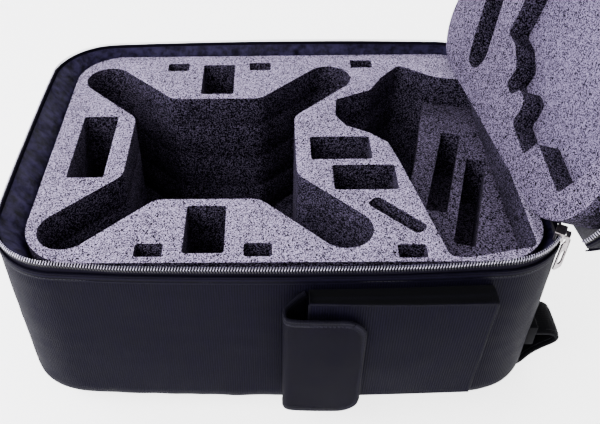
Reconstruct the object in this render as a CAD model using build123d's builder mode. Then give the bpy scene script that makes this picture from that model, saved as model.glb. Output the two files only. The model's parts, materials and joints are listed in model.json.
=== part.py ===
from build123d import *
import math
import os

os.makedirs("parts", exist_ok=True)

# ---------------------------------------------------------------- driving sizes
# The case lies on its back pads. +X runs to the hinge end, +Y away from the side
# pocket, +Z up. The origin is on the resting face, under the middle of the case.

# outer shell
case_length = 493.0
case_width = 354.0          # across the corners of the long sides
side_bow = 8.5              # how far each long side bows out at its middle
end_bow = 3.0
corner_radius = 65.0
bottom_rounding = 25.0
fabric = 2.0
board = 2.5
lining = 1.0
back_pad_height = 10.0
wall_drop = 5.0             # the sewn wall ends this far below the foam's top
back_panel_inset = 26.0
board_rise = 3.0            # the wall board starts this far above the rounded lower edge

# foam block
foam_end_room = 36.0        # slack between foam and shell, both ends together
foam_side_room = 32.0       # the same across the case, at its widest
foam_centre = (5.0, 3.0)
foam_corner_step = 15.0     # how much tighter the foam's corners are than the shell's
floor_pad_height = 8.5
floor_pad_inset = 10.0
layer_heights = [44.0, 44.0, 44.0, 36.0]     # from the floor up

# cut-outs for the aircraft, measured from its own centre
drone_centre = (-63.5, -1.5)
drone_body = 167.0
drone_reach = 123.7         # motor centres, along X and along Y
drone_arm = 50.0
nose_rounding = 20.0

# pockets cut in the foam
slot_rounding = 2.5
battery_slot = (36.0, 102.0)
battery_slot_reach = 120.0
cell_slot = (36.0, 61.0)
cell_slot_reach = 123.5
small_slot = (24.5, 16.0)
small_slot_reach = (47.0, 150.0)
far_end_slot = (100.0, 152.0)
near_end_slot = (115.0, -154.0)
charger_slot = (60.0, 37.0)
charger_slot_centres = [(64.7, -8.0), (84.5, -54.3)]
key_slot = (58.0, 15.0)
key_slot_centre = (108.0, -108.0)
key_slot_turn = -45.0
controller_outline = [
    (142.0, 148.0), (119.0, 121.0), (105.0, 97.0), (66.0, 78.0), (63.5, 48.0), (73.0, 30.0),
    (97.0, 16.0), (113.0, 0.0), (121.0, -34.0), (146.0, -161.0), (162.0, -162.0), (222.0, -149.0),
    (224.0, 112.0), (180.0, 122.0),
]
controller_rounding = 7.0
tray_edge = [(172.0, 200.0), (172.0, 120.0), (163.5, 90.0), (151.5, 34.5), (142.5, 0.0), (112.0, -90.0)]
tray_gap = 0.2
tray_slot_width = 20.0
tray_slot_length = 132.0
tray_slot_tops = [(193.0, 63.0), (211.0, 16.0)]
tray_slot_lean = 16.5       # degrees from the case's cross direction
tray_slot_depth = 60.0

# zip
tape_inset = 1.4
tape_thickness = 1.2
teeth_width = 2.6
teeth_height = 2.5
tape_rise = 12.5            # the base's zip tape stands this far above the foam's top
zip_end_inset = 14.5        # the base half stops this far inside the hinge end, past the corners
piping = 4.0
piping_seam = 0.6           # how much of the piping is sewn under
piping_rounding = 0.9
lining_drop = 4.0           # the lining ends below the zip tape's edge

# lid, in its closed place; heights are above the foam's top
hinge_inset = 24.8          # the hinge line from the hinge end of the case
hinge_side_step = 3.0
hinge_height = 18.5         # above the foam's top
hinge_yaw = 3.0
hinge_roll = 2.4
lid_open = 110.0
lid_foam_short = 4.0        # the lid's foam is this much shorter than the base's
lid_foam_wide = 5.0         # and this much wider
lid_foam_corner_step = 7.0
lid_edge_step = 5.0         # its hinge edge stands this far back from the base foam's
lid_foam_gap = 4.2
lid_cut_depth = 22.3
lid_backing = 18.0
lid_band_bottom = 28.0
lid_hinge_inset = 17.5      # how far the stiff lid stops short of the outer wall
lid_band_inset = 32.5       # its side band stops this far inside the hinge end
hinge_panel_width = 226.0
hinge_fold = 6.0            # the slack hinge panel, folded outside the wall while the lid is open
hinge_fold_height = 12.0
recess_outline = [
    (79.0, 50.0), (77.0, 30.0), (64.0, 7.0), (47.0, 8.0), (44.0, -7.0), (55.0, -16.0), (53.0, -30.0),
    (42.0, -33.0), (30.0, -32.0), (22.0, -72.0), (41.0, -79.0), (31.0, -136.0), (60.0, -147.0),
    (395.0, -147.0), (418.0, -120.0), (418.0, -30.0), (330.0, 10.0), (325.0, 60.0), (250.0, 72.0),
    (150.0, 60.0),
]
recess_rounding = 5.0
blade_slot_ends = [(40.0, 80.0), (146.0, 134.0)]
blade_slot_width = 34.0
blade_slot_2_ends = [(270.0, 120.0), (400.0, 70.0)]

# sliders and pull tabs
near_slider_turn = 30.0     # degrees round the hinge corner from the case's long axis
far_slider_turn = 58.0
slider = (13.0, 8.4, 9.0)   # along the zip, through it, and tall
slider_slot = 4.4
slider_head = 2.6
slider_clearance = 0.3
pin_radius = 0.8
pin_reach = 6.6
pin_rise = 0.9              # the pin above the base's zip tape
eye_radius = 1.9
eye_clearance = 0.05
eye_width = 5.4
ear = (1.3, 2.7, 3.4)
tab = (10.0, 32.0, 1.6)
tab_neck = 5.0
tab_hole = (5.6, 15.0)
tab_hole_drop = 3.0
tab_rounding = 2.2
slider_rounding = 1.5
slider_top_rounding = 0.8
ear_gap = 0.2               # room between the tab's eye and each ear
ear_overrun = 1.6           # how far an ear reaches past the pin
pin_overrun = 0.6

# side pocket
pocket_x = (25.0, 180.0)
pocket_foot_rise = 40.0     # above the case's floor
pocket_top_drop = 7.0       # below the wall's top
pocket_depth = 15.5         # from the widest part of the wall to the back of the pocket's front
hem_width = 6.0
hem = 1.4
patch = 1.2
patch_x = (42.0, 70.0)
patch_margin = (12.0, 29.0) # from the pocket's foot and from its top
flap_x = (6.5, 74.0)
flap_top_drop = 13.0        # below the pocket's top
flap_foot_drop = 8.0        # below the pocket's foot
flap_thickness = 3.0
flap_stand = 5.2            # middle of the flap's thickness, in front of the pocket's face
flap_fold_stand = 0.6       # where the flap folds, in front of the pocket's face
fold_lean = 0.5
fold_ease = 0.2
flap_corner = 16.0
flap_bend = 5.0
flap_root_x = 20.5
flap_root_stand = 0.7       # the sewn root, outside the widest part of the wall
flap_root_lead = 7.0
fold_clearance = 0.5
binding_width = 6.0
binding = 1.2

# back of the case
back_pad_ends = 113.0       # what the cushions leave free of the case's length
back_pad_width = 70.0
back_pad_corner = 10.0
back_pad_softening = 3      # its lower edge is rounded by this share of its height
back_pad_centre = (5.0, 51.0)
spine_pad_width = 24.0
strap_width = 42.0
strap_thickness = 7.0
strap_centre = 119.0
strap_start_inset = 56.5
# the strap's run, from the hinge end and above the floor
strap_loop = [(-20.0, 3.5), (2.5, 14.0), (7.0, 33.0), (31.0, 51.0), (22.0, 63.0), (7.0, 62.0)]
strap_bend = 6.0
anchor_patch = (48.0, 26.0)
anchor_stand = 4.7          # the patch's face, outside the hinge end's corners
anchor_depth = 24.0
yoke_length = 46.0
yoke_side_room = 44.0       # free at the sides, both together
yoke_gap = 1.0              # clear of the cushions

# grab handle
handle_reach = 52.0
handle_height = 118.0
handle_drop = 36.0
handle_web = 20.0
handle_thickness = 5.0
handle_anchor = (34.0, 30.0, 2.5)
handle_clearance = 0.5
handle_anchor_sink = 6.0    # how deep the anchors are cut back from the curved wall

# ---------------------------------------------------------------- worked out
case_floor = back_pad_height
floor_board_bottom = case_floor + fabric
floor_pad_bottom = floor_board_bottom + board
foam_floor = floor_pad_bottom + floor_pad_height
foam_top = foam_floor + sum(layer_heights)
half_length = case_length / 2
half_width = case_width / 2
wall_top = foam_top - wall_drop
board_foot = case_floor + bottom_rounding + board_rise
foam_length = case_length - foam_end_room
foam_width = case_width + 2 * side_bow - foam_side_room
foam_corner = corner_radius - foam_corner_step
base_tape_top = foam_top + tape_rise
pin_height = base_tape_top + pin_rise
zip_end = half_length - zip_end_inset
lid_band_end = half_length - lid_band_inset
side_arc = (half_length ** 2 + side_bow ** 2) / (2 * side_bow)
side_arc_centre = side_arc - half_width - side_bow
end_arc = (half_width ** 2 + end_bow ** 2) / (2 * end_bow)
end_arc_centre = end_arc - half_length - end_bow
tray_top = foam_top - layer_heights[-1]
tape_inner = tape_inset + tape_thickness
teeth_inset = tape_inset + tape_thickness / 2 - teeth_width / 2
slider_top = base_tape_top + teeth_height + slider_clearance + slider_head
slider_bottom = slider_top - slider[2]
lid_teeth_bottom = slider_top + slider_clearance - foam_top
lid_tape_bottom = lid_teeth_bottom + teeth_height
lid_foam_top = lid_foam_gap + lid_cut_depth
lid_backing_top = lid_foam_top + lid_backing
lid_board_top = lid_backing_top + board
lid_top = lid_board_top + fabric
lid_foam_length = foam_length - lid_foam_short
lid_foam_width = foam_width + lid_foam_wide
lid_foam_corner = corner_radius - lid_foam_corner_step
lid_edge_x = foam_centre[0] + foam_length / 2 - lid_edge_step
lid_foam_centre = (lid_edge_x - lid_foam_length / 2, foam_centre[1])
pocket_z = (case_floor + pocket_foot_rise, wall_top - pocket_top_drop)
pocket_face = half_width + side_bow + pocket_depth
pocket_outer = pocket_face + fabric
patch_z = (pocket_z[0] + patch_margin[0], pocket_z[1] - patch_margin[1])
flap_z = (pocket_z[0] - flap_foot_drop, pocket_z[1] - flap_top_drop)
flap_front = pocket_outer + flap_stand
flap_fold = (flap_x[0], pocket_outer + flap_fold_stand)
flap_root = (flap_root_x, half_width + side_bow + flap_root_stand)
strap_start = strap_start_inset - half_length
strap_route = [(half_length + reach, height) for reach, height in strap_loop]
anchor_face = half_length + anchor_stand

hinge_direction = Vector(0, 1, 0).rotate(Axis.X, hinge_roll).rotate(Axis.Z, hinge_yaw)
hinge_origin = Vector(half_length - hinge_inset, hinge_side_step, foam_top + hinge_height)
hinge_turn = Axis((0, 0, 0), (hinge_direction.X, hinge_direction.Y, hinge_direction.Z))
closed_origin = Vector(0, 0, foam_top)
lid_plane = Plane(
    origin=hinge_origin + (closed_origin - hinge_origin).rotate(hinge_turn, lid_open),
    x_dir=Vector(1, 0, 0).rotate(hinge_turn, lid_open),
    z_dir=Vector(0, 0, 1).rotate(hinge_turn, lid_open),
)


# ---------------------------------------------------------------- helpers
def save(piece, name):
    """Label a finished piece and write it as its own STEP file."""
    piece.part.label = name
    export_step(piece.part, "parts/" + name + ".step")


def inset_outline(inset):
    """The case's outline moved inwards: four wide arcs that meet in round corners."""
    with BuildSketch() as profile:
        with Locations((0, -side_arc_centre)):
            Circle(side_arc - inset)
        with Locations((0, side_arc_centre)):
            Circle(side_arc - inset, mode=Mode.INTERSECT)
        with Locations((-end_arc_centre, 0)):
            Circle(end_arc - inset, mode=Mode.INTERSECT)
        with Locations((end_arc_centre, 0)):
            Circle(end_arc - inset, mode=Mode.INTERSECT)
        fillet(profile.vertices(), corner_radius - inset)
    return profile.sketch


case_outline = inset_outline(0)


def band(plane, bottom, top, outer, inner, hinge_limit=None, cut_turn=0):
    """A band that follows the case outline, cut off at the hinge side where asked."""
    with BuildPart() as piece:
        with BuildSketch(plane.offset(bottom)):
            add(inset_outline(outer))
            add(inset_outline(inner), mode=Mode.SUBTRACT)
        extrude(amount=top - bottom)
        if hinge_limit is not None:
            with BuildSketch(plane.offset(bottom)):
                with Locations((hinge_limit, 0)):
                    Rectangle(case_length, 2 * case_width, rotation=cut_turn, align=(Align.MIN, Align.CENTER))
            extrude(amount=top - bottom, mode=Mode.SUBTRACT)
    return piece


def tub(inset, floor_height, top):
    """A solid of the case outline with its lower edge rounded."""
    with BuildPart(mode=Mode.PRIVATE) as piece:
        with BuildSketch(Plane.XY.offset(floor_height)):
            add(inset_outline(inset))
        extrude(amount=top - floor_height)
        fillet(piece.faces().sort_by(Axis.Z)[0].edges(), bottom_rounding - inset)
    return piece.part


def corner_centre(side):
    """The centre of the outline's round corner at the hinge end, on the near (-1) or far side."""
    arcs = case_outline.edges().filter_by(GeomType.CIRCLE)
    corners = arcs.filter_by(lambda arc: abs(arc.radius - corner_radius) < 0.01 and arc.center().X > 0)
    chosen = corners.sort_by(Axis.Y)[0 if side < 0 else -1]
    return chosen.arc_center


def rounded_polygon(points, radius):
    """A closed face through the points with every corner rounded."""
    with BuildSketch() as profile:
        with BuildLine():
            Polyline(*points, close=True)
        make_face()
        fillet(profile.vertices(), radius)
    return profile.sketch


# ---------------------------------------------------------------- sewn shell of the base
with BuildPart() as side_wall:
    add(tub(0, case_floor, wall_top))
    add(tub(fabric, case_floor + fabric, wall_top), mode=Mode.SUBTRACT)
    with BuildSketch(Plane.XY.offset(case_floor)):
        add(inset_outline(back_panel_inset))
    extrude(amount=fabric, mode=Mode.SUBTRACT)
save(side_wall, "side_wall")

with BuildPart() as back_panel:
    with BuildSketch(Plane.XY.offset(case_floor)):
        add(inset_outline(back_panel_inset))
    extrude(amount=fabric)
save(back_panel, "back_panel")

wall_board = band(Plane.XY, board_foot, wall_top - fabric, fabric, fabric + board)
save(wall_board, "wall_board")

with BuildPart() as base_board:
    with BuildSketch(Plane.XY.offset(floor_board_bottom)):
        add(inset_outline(back_panel_inset))
    extrude(amount=board)
save(base_board, "base_board")

lining_face = fabric + board
lining_back = lining_face + lining
lining_top = base_tape_top - lining_drop
with BuildPart() as wall_lining:
    add(band(Plane.XY, board_foot, wall_top, lining_face, lining_back).part)
    add(band(Plane.XY, wall_top, lining_top, lining_face, lining_back, zip_end, hinge_yaw).part)
save(wall_lining, "wall_lining")

piping_inner = piping / 2 - piping_seam
with BuildPart() as rim_piping:
    add(band(Plane.XY, wall_top, wall_top + piping, -piping / 2, piping_inner, zip_end, hinge_yaw).part)
    fillet(rim_piping.edges().filter_by(Plane.XY).group_by(Axis.Z)[-1], piping_rounding)
save(rim_piping, "rim_piping")

base_zip_tape = band(Plane.XY, wall_top, base_tape_top, tape_inset, tape_inner, zip_end, hinge_yaw)
save(base_zip_tape, "base_zip_tape")

teeth_inner = teeth_inset + teeth_width
base_teeth_top = base_tape_top + teeth_height
base_zip_teeth = band(Plane.XY, base_tape_top, base_teeth_top, teeth_inset, teeth_inner, zip_end, hinge_yaw)
save(base_zip_teeth, "base_zip_teeth")

# ---------------------------------------------------------------- foam block
with BuildPart() as floor_pad:
    with BuildSketch(Plane.XY.offset(floor_pad_bottom)):
        with Locations(foam_centre):
            RectangleRounded(foam_length, foam_width, foam_corner)
        offset(amount=-floor_pad_inset, mode=Mode.REPLACE)
    extrude(amount=floor_pad_height)
save(floor_pad, "floor_pad")

with BuildSketch() as drone_shape:
    with Locations(drone_centre):
        Rectangle(drone_body, drone_body)
        for turn in (45, -45):
            SlotCenterToCenter(2 * math.sqrt(2) * drone_reach, drone_arm, rotation=turn)
    inner_corners = drone_shape.vertices().filter_by(
        lambda v: abs(abs(v.Y - drone_centre[1]) - drone_body / 2) < 0.01
        or abs(abs(v.X - drone_centre[0]) - drone_body / 2) < 0.01
    )
    fillet(inner_corners, nose_rounding)

with BuildSketch() as cell_slots:
    with Locations((drone_centre[0] - battery_slot_reach, drone_centre[1])):
        RectangleRounded(*battery_slot, slot_rounding)
    with Locations(drone_centre):
        with Locations((0, cell_slot_reach), (0, -cell_slot_reach)):
            RectangleRounded(*cell_slot, slot_rounding)
    with Locations(*charger_slot_centres):
        RectangleRounded(*charger_slot, slot_rounding)

with BuildSketch() as shallow_slots:
    with Locations(drone_centre):
        with GridLocations(2 * small_slot_reach[0], 2 * small_slot_reach[1], 2, 2):
            RectangleRounded(*small_slot, slot_rounding)
    with Locations(far_end_slot, near_end_slot):
        RectangleRounded(*small_slot, slot_rounding)
    with Locations(key_slot_centre):
        RectangleRounded(*key_slot, key_slot[1] / 3, rotation=key_slot_turn)

controller_shape = rounded_polygon(controller_outline, controller_rounding)

layer_names = ["foam_bottom_layer", "foam_lower_layer", "foam_upper_layer", "foam_top_layer"]
layer_cuts = [
    [drone_shape.sketch],
    [drone_shape.sketch],
    [drone_shape.sketch, cell_slots.sketch],
    [drone_shape.sketch, cell_slots.sketch, shallow_slots.sketch],
]
layer_bottom = foam_floor
for layer_name, layer_height, cuts in zip(layer_names, layer_heights, layer_cuts):
    with BuildPart() as foam_layer:
        with BuildSketch(Plane.XY.offset(layer_bottom)):
            with Locations(foam_centre):
                RectangleRounded(foam_length, foam_width, foam_corner)
            for cut in cuts:
                add(cut, mode=Mode.SUBTRACT)
            add(controller_shape, mode=Mode.SUBTRACT)
        extrude(amount=layer_height)
    save(foam_layer, layer_name)
    layer_bottom = layer_bottom + layer_height

tray_far_side = [(-half_length, tray_edge[-1][1]), (-half_length, tray_edge[0][1])]
with BuildPart() as controller_tray:
    with BuildSketch(Plane.XY.offset(foam_floor)):
        add(controller_shape)
        offset(amount=-tray_gap, kind=Kind.ARC, mode=Mode.REPLACE)
        with BuildLine():
            Polyline(*tray_edge, *tray_far_side, close=True)
        make_face(mode=Mode.SUBTRACT)
    extrude(amount=tray_top - foam_floor)
    with BuildSketch(Plane.XY.offset(tray_top)):
        for slot_top in tray_slot_tops:
            lean = math.radians(tray_slot_lean)
            middle_x = slot_top[0] - math.sin(lean) * tray_slot_length / 2
            middle_y = slot_top[1] - math.cos(lean) * tray_slot_length / 2
            with Locations((middle_x, middle_y)):
                RectangleRounded(tray_slot_width, tray_slot_length, slot_rounding, rotation=-tray_slot_lean)
    extrude(amount=-tray_slot_depth, mode=Mode.SUBTRACT)
save(controller_tray, "controller_tray")

# ---------------------------------------------------------------- side pocket and its flap
pocket_length = pocket_x[1] - pocket_x[0]
pocket_height = pocket_z[1] - pocket_z[0]
mouth_length = pocket_length - fabric
mouth_height = pocket_height - 2 * fabric
wall_body = extrude(case_outline, amount=2 * wall_top)


def front_plane(distance):
    """A plane parallel to the near wall, facing the pocket's side, with X along the case."""
    return Plane(origin=(0, -distance, 0), x_dir=(1, 0, 0), z_dir=(0, -1, 0))


with BuildPart() as pocket_front:
    with BuildSketch(front_plane(pocket_face)):
        with Locations((pocket_x[0], pocket_z[0])):
            Rectangle(pocket_length, pocket_height, align=(Align.MIN, Align.MIN))
    extrude(amount=fabric)
save(pocket_front, "pocket_front")

with BuildPart() as pocket_gusset:
    with BuildSketch(front_plane(pocket_face)):
        with Locations((pocket_x[0], pocket_z[0])):
            Rectangle(pocket_length, pocket_height, align=(Align.MIN, Align.MIN))
        with Locations((pocket_x[0], pocket_z[0] + fabric)):
            Rectangle(mouth_length, mouth_height, align=(Align.MIN, Align.MIN), mode=Mode.SUBTRACT)
    extrude(amount=-(pocket_face - half_width / 2))
    add(wall_body, mode=Mode.SUBTRACT)
save(pocket_gusset, "pocket_gusset")

with BuildPart() as pocket_hem:
    with BuildSketch(front_plane(pocket_outer)):
        with Locations((pocket_x[0], pocket_z[0])):
            Rectangle(hem_width, pocket_height, align=(Align.MIN, Align.MIN))
    extrude(amount=hem)
save(pocket_hem, "pocket_hem")


def closure_patch(distance):
    """A hook or loop patch, built outwards from the given distance."""
    with BuildPart() as piece:
        with BuildSketch(front_plane(distance)):
            with Locations(((patch_x[0] + patch_x[1]) / 2, (patch_z[0] + patch_z[1]) / 2)):
                RectangleRounded(patch_x[1] - patch_x[0], patch_z[1] - patch_z[0], slot_rounding)
        extrude(amount=patch)
    return piece


pocket_hook_patch = closure_patch(pocket_outer)
save(pocket_hook_patch, "pocket_hook_patch")

flap_inner = flap_front - flap_thickness / 2
flap_loop_patch = closure_patch(flap_inner - patch)
save(flap_loop_patch, "flap_loop_patch")

flap_height = flap_z[1] - flap_z[0]
with BuildPart() as flap_panel:
    with BuildSketch(Plane.XY.offset(flap_z[0])):
        with BuildLine() as flap_path:
            FilletPolyline(
                (flap_fold[0], -flap_fold[1]),
                (flap_fold[0] + fold_lean, -flap_front),
                (flap_x[1], -flap_front),
                radius=flap_front - flap_fold[1] - fold_ease,
            )
        trace(line_width=flap_thickness)
    extrude(amount=flap_height)
    free_corners = flap_panel.edges().filter_by(Axis.Y).group_by(Axis.X)[-1]
    fillet(free_corners, flap_corner)
save(flap_panel, "flap_panel")

with BuildPart() as flap_return:
    with BuildSketch(Plane.XY.offset(flap_z[0])):
        with BuildLine() as return_path:
            FilletPolyline(
                (flap_fold[0], -(flap_fold[1] - flap_thickness - fold_clearance)),
                (flap_fold[0], -(flap_root[1] + flap_root_lead)),
                (flap_root[0], -flap_root[1] - flap_thickness / 2),
                radius=flap_bend,
            )
        trace(line_width=flap_thickness)
    extrude(amount=flap_height)
    add(wall_body, mode=Mode.SUBTRACT)
save(flap_return, "flap_return")

flap_outer = flap_front + flap_thickness / 2
binding_length = flap_x[1] - flap_x[0] - flap_bend
bare_length = flap_x[1] - flap_x[0] - binding_width
bare_height = flap_height - 2 * binding_width
with BuildPart() as flap_binding:
    with BuildSketch(front_plane(flap_outer)):
        with Locations((flap_x[0] + flap_bend, flap_z[0])):
            Rectangle(binding_length, flap_height, align=(Align.MIN, Align.MIN))
    extrude(amount=binding)
    fillet(flap_binding.edges().filter_by(Axis.Y).group_by(Axis.X)[-1], flap_corner)
    with BuildSketch(front_plane(flap_outer)):
        with Locations((flap_x[0], flap_z[0] + binding_width)):
            Rectangle(bare_length, bare_height, align=(Align.MIN, Align.MIN))
    extrude(amount=binding, mode=Mode.SUBTRACT)
save(flap_binding, "flap_binding")

# ---------------------------------------------------------------- back pads, straps and handle
for pad_name, side, pad_width in (
    ("near_back_pad", -1, back_pad_width),
    ("spine_pad", 0, spine_pad_width),
    ("far_back_pad", 1, back_pad_width),
):
    with BuildPart() as pad_piece:
        with BuildSketch():
            with Locations((back_pad_centre[0], side * back_pad_centre[1])):
                RectangleRounded(case_length - back_pad_ends, pad_width, back_pad_corner)
        extrude(amount=back_pad_height)
        fillet(pad_piece.faces().sort_by(Axis.Z)[0].edges(), back_pad_height / back_pad_softening)
    save(pad_piece, pad_name)

for strap_name, side in (("near_shoulder_strap", -1), ("far_shoulder_strap", 1)):
    strap_edge = side * strap_centre + strap_width / 2
    with BuildPart() as strap_piece:
        with BuildSketch(Plane(origin=(0, strap_edge, 0), x_dir=(1, 0, 0), z_dir=(0, -1, 0))):
            with BuildLine() as strap_path:
                FilletPolyline((strap_start, strap_route[0][1]), *strap_route, radius=strap_bend)
            trace(line_width=strap_thickness)
        extrude(amount=strap_width)
    save(strap_piece, strap_name)

for anchor_name, side in (("near_strap_anchor", -1), ("far_strap_anchor", 1)):
    with BuildPart() as anchor_piece:
        with BuildSketch(Plane(origin=(anchor_face, 0, 0), x_dir=(0, 1, 0), z_dir=(1, 0, 0))):
            with Locations((side * strap_centre, strap_route[-1][1])):
                Rectangle(*anchor_patch)
        extrude(amount=-anchor_depth)
        add(wall_body, mode=Mode.SUBTRACT)
    save(anchor_piece, anchor_name)

pads_width = 2 * back_pad_centre[1] + back_pad_width + 2 * yoke_gap
with BuildPart() as strap_yoke:
    with BuildSketch(Plane.XY.offset(strap_thickness)):
        with Locations((strap_start + yoke_length / 2, 0)):
            RectangleRounded(yoke_length, case_width - yoke_side_room, slot_rounding)
        with Locations((strap_start + yoke_length / 2, 0)):
            Rectangle(yoke_length + yoke_gap, pads_width, mode=Mode.SUBTRACT)
    extrude(amount=case_floor - strap_thickness)
save(strap_yoke, "strap_yoke")

left_wall = half_length + end_bow


def handle_plane(distance):
    """A plane parallel to the left end of the case, facing away from it."""
    return Plane(origin=(-distance, 0, 0), x_dir=(0, -1, 0), z_dir=(-1, 0, 0))


with BuildPart() as handle_anchors:
    with BuildSketch(handle_plane(half_length - handle_anchor_sink)):
        with Locations((handle_reach, handle_height), (-handle_reach, handle_height)):
            RectangleRounded(handle_anchor[0], handle_anchor[1], slot_rounding)
    extrude(amount=handle_anchor_sink + end_bow + handle_anchor[2])
    add(wall_body, mode=Mode.SUBTRACT)
save(handle_anchors, "handle_anchors")

handle_face = left_wall + handle_anchor[2] + handle_clearance
with BuildPart() as grab_handle:
    with BuildSketch(handle_plane(handle_face)):
        with BuildLine() as handle_path:
            FilletPolyline(
                (-handle_reach, handle_height),
                (-handle_reach, handle_height - handle_drop),
                (handle_reach, handle_height - handle_drop),
                (handle_reach, handle_height),
                radius=handle_web,
            )
        trace(line_width=handle_web)
    extrude(amount=handle_thickness)
save(grab_handle, "grab_handle")

# ---------------------------------------------------------------- hinge panel
with BuildPart() as hinge_panel:
    with BuildSketch(Plane.XY.offset(wall_top - hinge_fold_height)):
        add(inset_outline(-hinge_fold))
        add(inset_outline(0), mode=Mode.SUBTRACT)
        with Locations((half_length, 0)):
            Rectangle(2 * hinge_fold, hinge_panel_width, mode=Mode.INTERSECT)
    extrude(amount=hinge_fold_height)
save(hinge_panel, "hinge_panel")

# ---------------------------------------------------------------- lid, built in its open place
stiff_edge = half_length - lid_hinge_inset


def lid_slab(bottom, top, inset):
    """A slab of the lid's outline that stops short of the hinge side."""
    with BuildPart() as piece:
        with BuildSketch(lid_plane.offset(bottom)):
            add(inset_outline(inset))
            with Locations((stiff_edge, 0)):
                Rectangle(case_length, 2 * case_width, align=(Align.MIN, Align.CENTER), mode=Mode.SUBTRACT)
        extrude(amount=top - bottom)
    return piece


with BuildPart() as lid_panel:
    add(lid_slab(lid_board_top, lid_top, 0).part)
save(lid_panel, "lid_panel")

lid_board = lid_slab(lid_backing_top, lid_board_top, fabric + lining)
save(lid_board, "lid_board")

lid_side_band = band(lid_plane, lid_band_bottom, lid_board_top, 0, fabric, lid_band_end)
save(lid_side_band, "lid_side_band")

lid_lining = band(lid_plane, lid_band_bottom, lid_board_top, fabric, fabric + lining, lid_band_end)
save(lid_lining, "lid_lining")

lid_piping_bottom = lid_band_bottom - piping
lid_piping = band(lid_plane, lid_piping_bottom, lid_band_bottom, -piping / 2, piping_inner, lid_band_end)
save(lid_piping, "lid_piping")

lid_zip_tape = band(lid_plane, lid_tape_bottom, lid_band_bottom, tape_inset, tape_inner, lid_band_end)
save(lid_zip_tape, "lid_zip_tape")

lid_zip_teeth = band(lid_plane, lid_teeth_bottom, lid_tape_bottom, teeth_inset, teeth_inner, lid_band_end)
save(lid_zip_teeth, "lid_zip_teeth")

with BuildPart() as lid_foam_backing:
    with BuildSketch(lid_plane.offset(lid_foam_top)):
        with Locations(lid_foam_centre):
            RectangleRounded(lid_foam_length, lid_foam_width, lid_foam_corner)
    extrude(amount=lid_backing)
save(lid_foam_backing, "lid_foam_backing")


def lid_point(point):
    """A place on the lid's foam, from the distance to its hinge edge and along that edge."""
    return (lid_edge_x - point[0], lid_foam_centre[1] + point[1])


recess_shape = rounded_polygon([lid_point(point) for point in recess_outline], recess_rounding)


def blade_slot(ends):
    """A long round-ended slot between two places on the lid's foam."""
    start = Vector(*lid_point(ends[0]))
    finish = Vector(*lid_point(ends[1]))
    run = finish - start
    with BuildSketch() as profile:
        with Locations(((start.X + finish.X) / 2, (start.Y + finish.Y) / 2)):
            SlotCenterToCenter(run.length, blade_slot_width, rotation=math.degrees(math.atan2(run.Y, run.X)))
    return profile.sketch


with BuildPart() as lid_cutout_foam:
    with BuildSketch(lid_plane.offset(lid_foam_gap)):
        with Locations(lid_foam_centre):
            RectangleRounded(lid_foam_length, lid_foam_width, lid_foam_corner)
        add(recess_shape, mode=Mode.SUBTRACT)
        add(blade_slot(blade_slot_ends), mode=Mode.SUBTRACT)
        add(blade_slot(blade_slot_2_ends), mode=Mode.SUBTRACT)
    extrude(amount=lid_cut_depth)
save(lid_cutout_foam, "lid_cutout_foam")

# ---------------------------------------------------------------- zip sliders and pull tabs
teeth_radius = corner_radius - tape_inset - tape_thickness / 2
ear_length = pin_reach - slider[1] / 2 + ear_overrun


def slider_plane(side, degrees):
    """The plane at a slider: X points outwards, Y along the zip, Z up."""
    centre = corner_centre(side)
    turn = math.radians(side * degrees)
    outward = Vector(math.cos(turn), math.sin(turn), 0)
    spot = Vector(centre.X, centre.Y, 0) + outward * teeth_radius
    return Plane(origin=spot, x_dir=outward, z_dir=(0, 0, 1))


for slider_name, tab_name, side, degrees in (
    ("near_slider", "near_pull_tab", -1, near_slider_turn),
    ("far_slider", "far_pull_tab", 1, far_slider_turn),
):
    place = slider_plane(side, degrees)
    across = Plane(origin=place.origin, x_dir=place.x_dir, z_dir=place.y_dir)
    with BuildPart() as slider_piece:
        with BuildSketch(place.offset(slider_bottom)):
            RectangleRounded(slider[1], slider[0], slider_rounding)
        extrude(amount=slider[2])
        fillet(slider_piece.faces().sort_by(Axis.Z)[-1].edges(), slider_top_rounding)
        with BuildSketch(place.offset(slider_bottom)):
            Rectangle(slider_slot, 2 * slider[0])
        extrude(amount=slider[2] - slider_head, mode=Mode.SUBTRACT)
        for ear_side in (-1, 1):
            ear_start = ear_side * ((eye_width + ear[0]) / 2 + ear_gap) - ear[0] / 2
            with BuildSketch(across.offset(ear_start)):
                with Locations((slider[1] / 2 - ear_gap, -pin_height)):
                    Rectangle(ear_length, ear[2], align=(Align.MIN, Align.CENTER))
            extrude(amount=ear[0])
        with BuildSketch(across.offset(-eye_width / 2 - pin_overrun)):
            with Locations((pin_reach, -pin_height)):
                Circle(pin_radius)
        extrude(amount=eye_width + 2 * pin_overrun)
    save(slider_piece, slider_name)

    with BuildPart() as tab_piece:
        with BuildSketch(across.offset(-eye_width / 2)):
            with Locations((pin_reach, -pin_height)):
                Circle(eye_radius)
        extrude(amount=eye_width)
        face = Plane(
            origin=place.origin + place.x_dir * (pin_reach - tab[2] / 2) + Vector(0, 0, pin_height),
            x_dir=place.y_dir,
            z_dir=place.x_dir,
        )
        with BuildSketch(face):
            with Locations((0, -(tab_neck + eye_radius) / 2)):
                Rectangle(eye_width, tab_neck + eye_radius)
            with Locations((0, -tab_neck - tab[1] / 2)):
                RectangleRounded(tab[0], tab[1], tab_rounding)
            with Locations((0, -tab_neck - tab[1] / 2 - tab_hole_drop)):
                SlotOverall(tab_hole[1], tab_hole[0], rotation=90, mode=Mode.SUBTRACT)
        extrude(amount=tab[2])
        with BuildSketch(across.offset(-eye_width)):
            with Locations((pin_reach, -pin_height)):
                Circle(pin_radius + eye_clearance)
        extrude(amount=2 * eye_width, mode=Mode.SUBTRACT)
    save(tab_piece, tab_name)
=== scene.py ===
"""The looks of a soft carrying case for a quadcopter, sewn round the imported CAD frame."""

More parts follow.
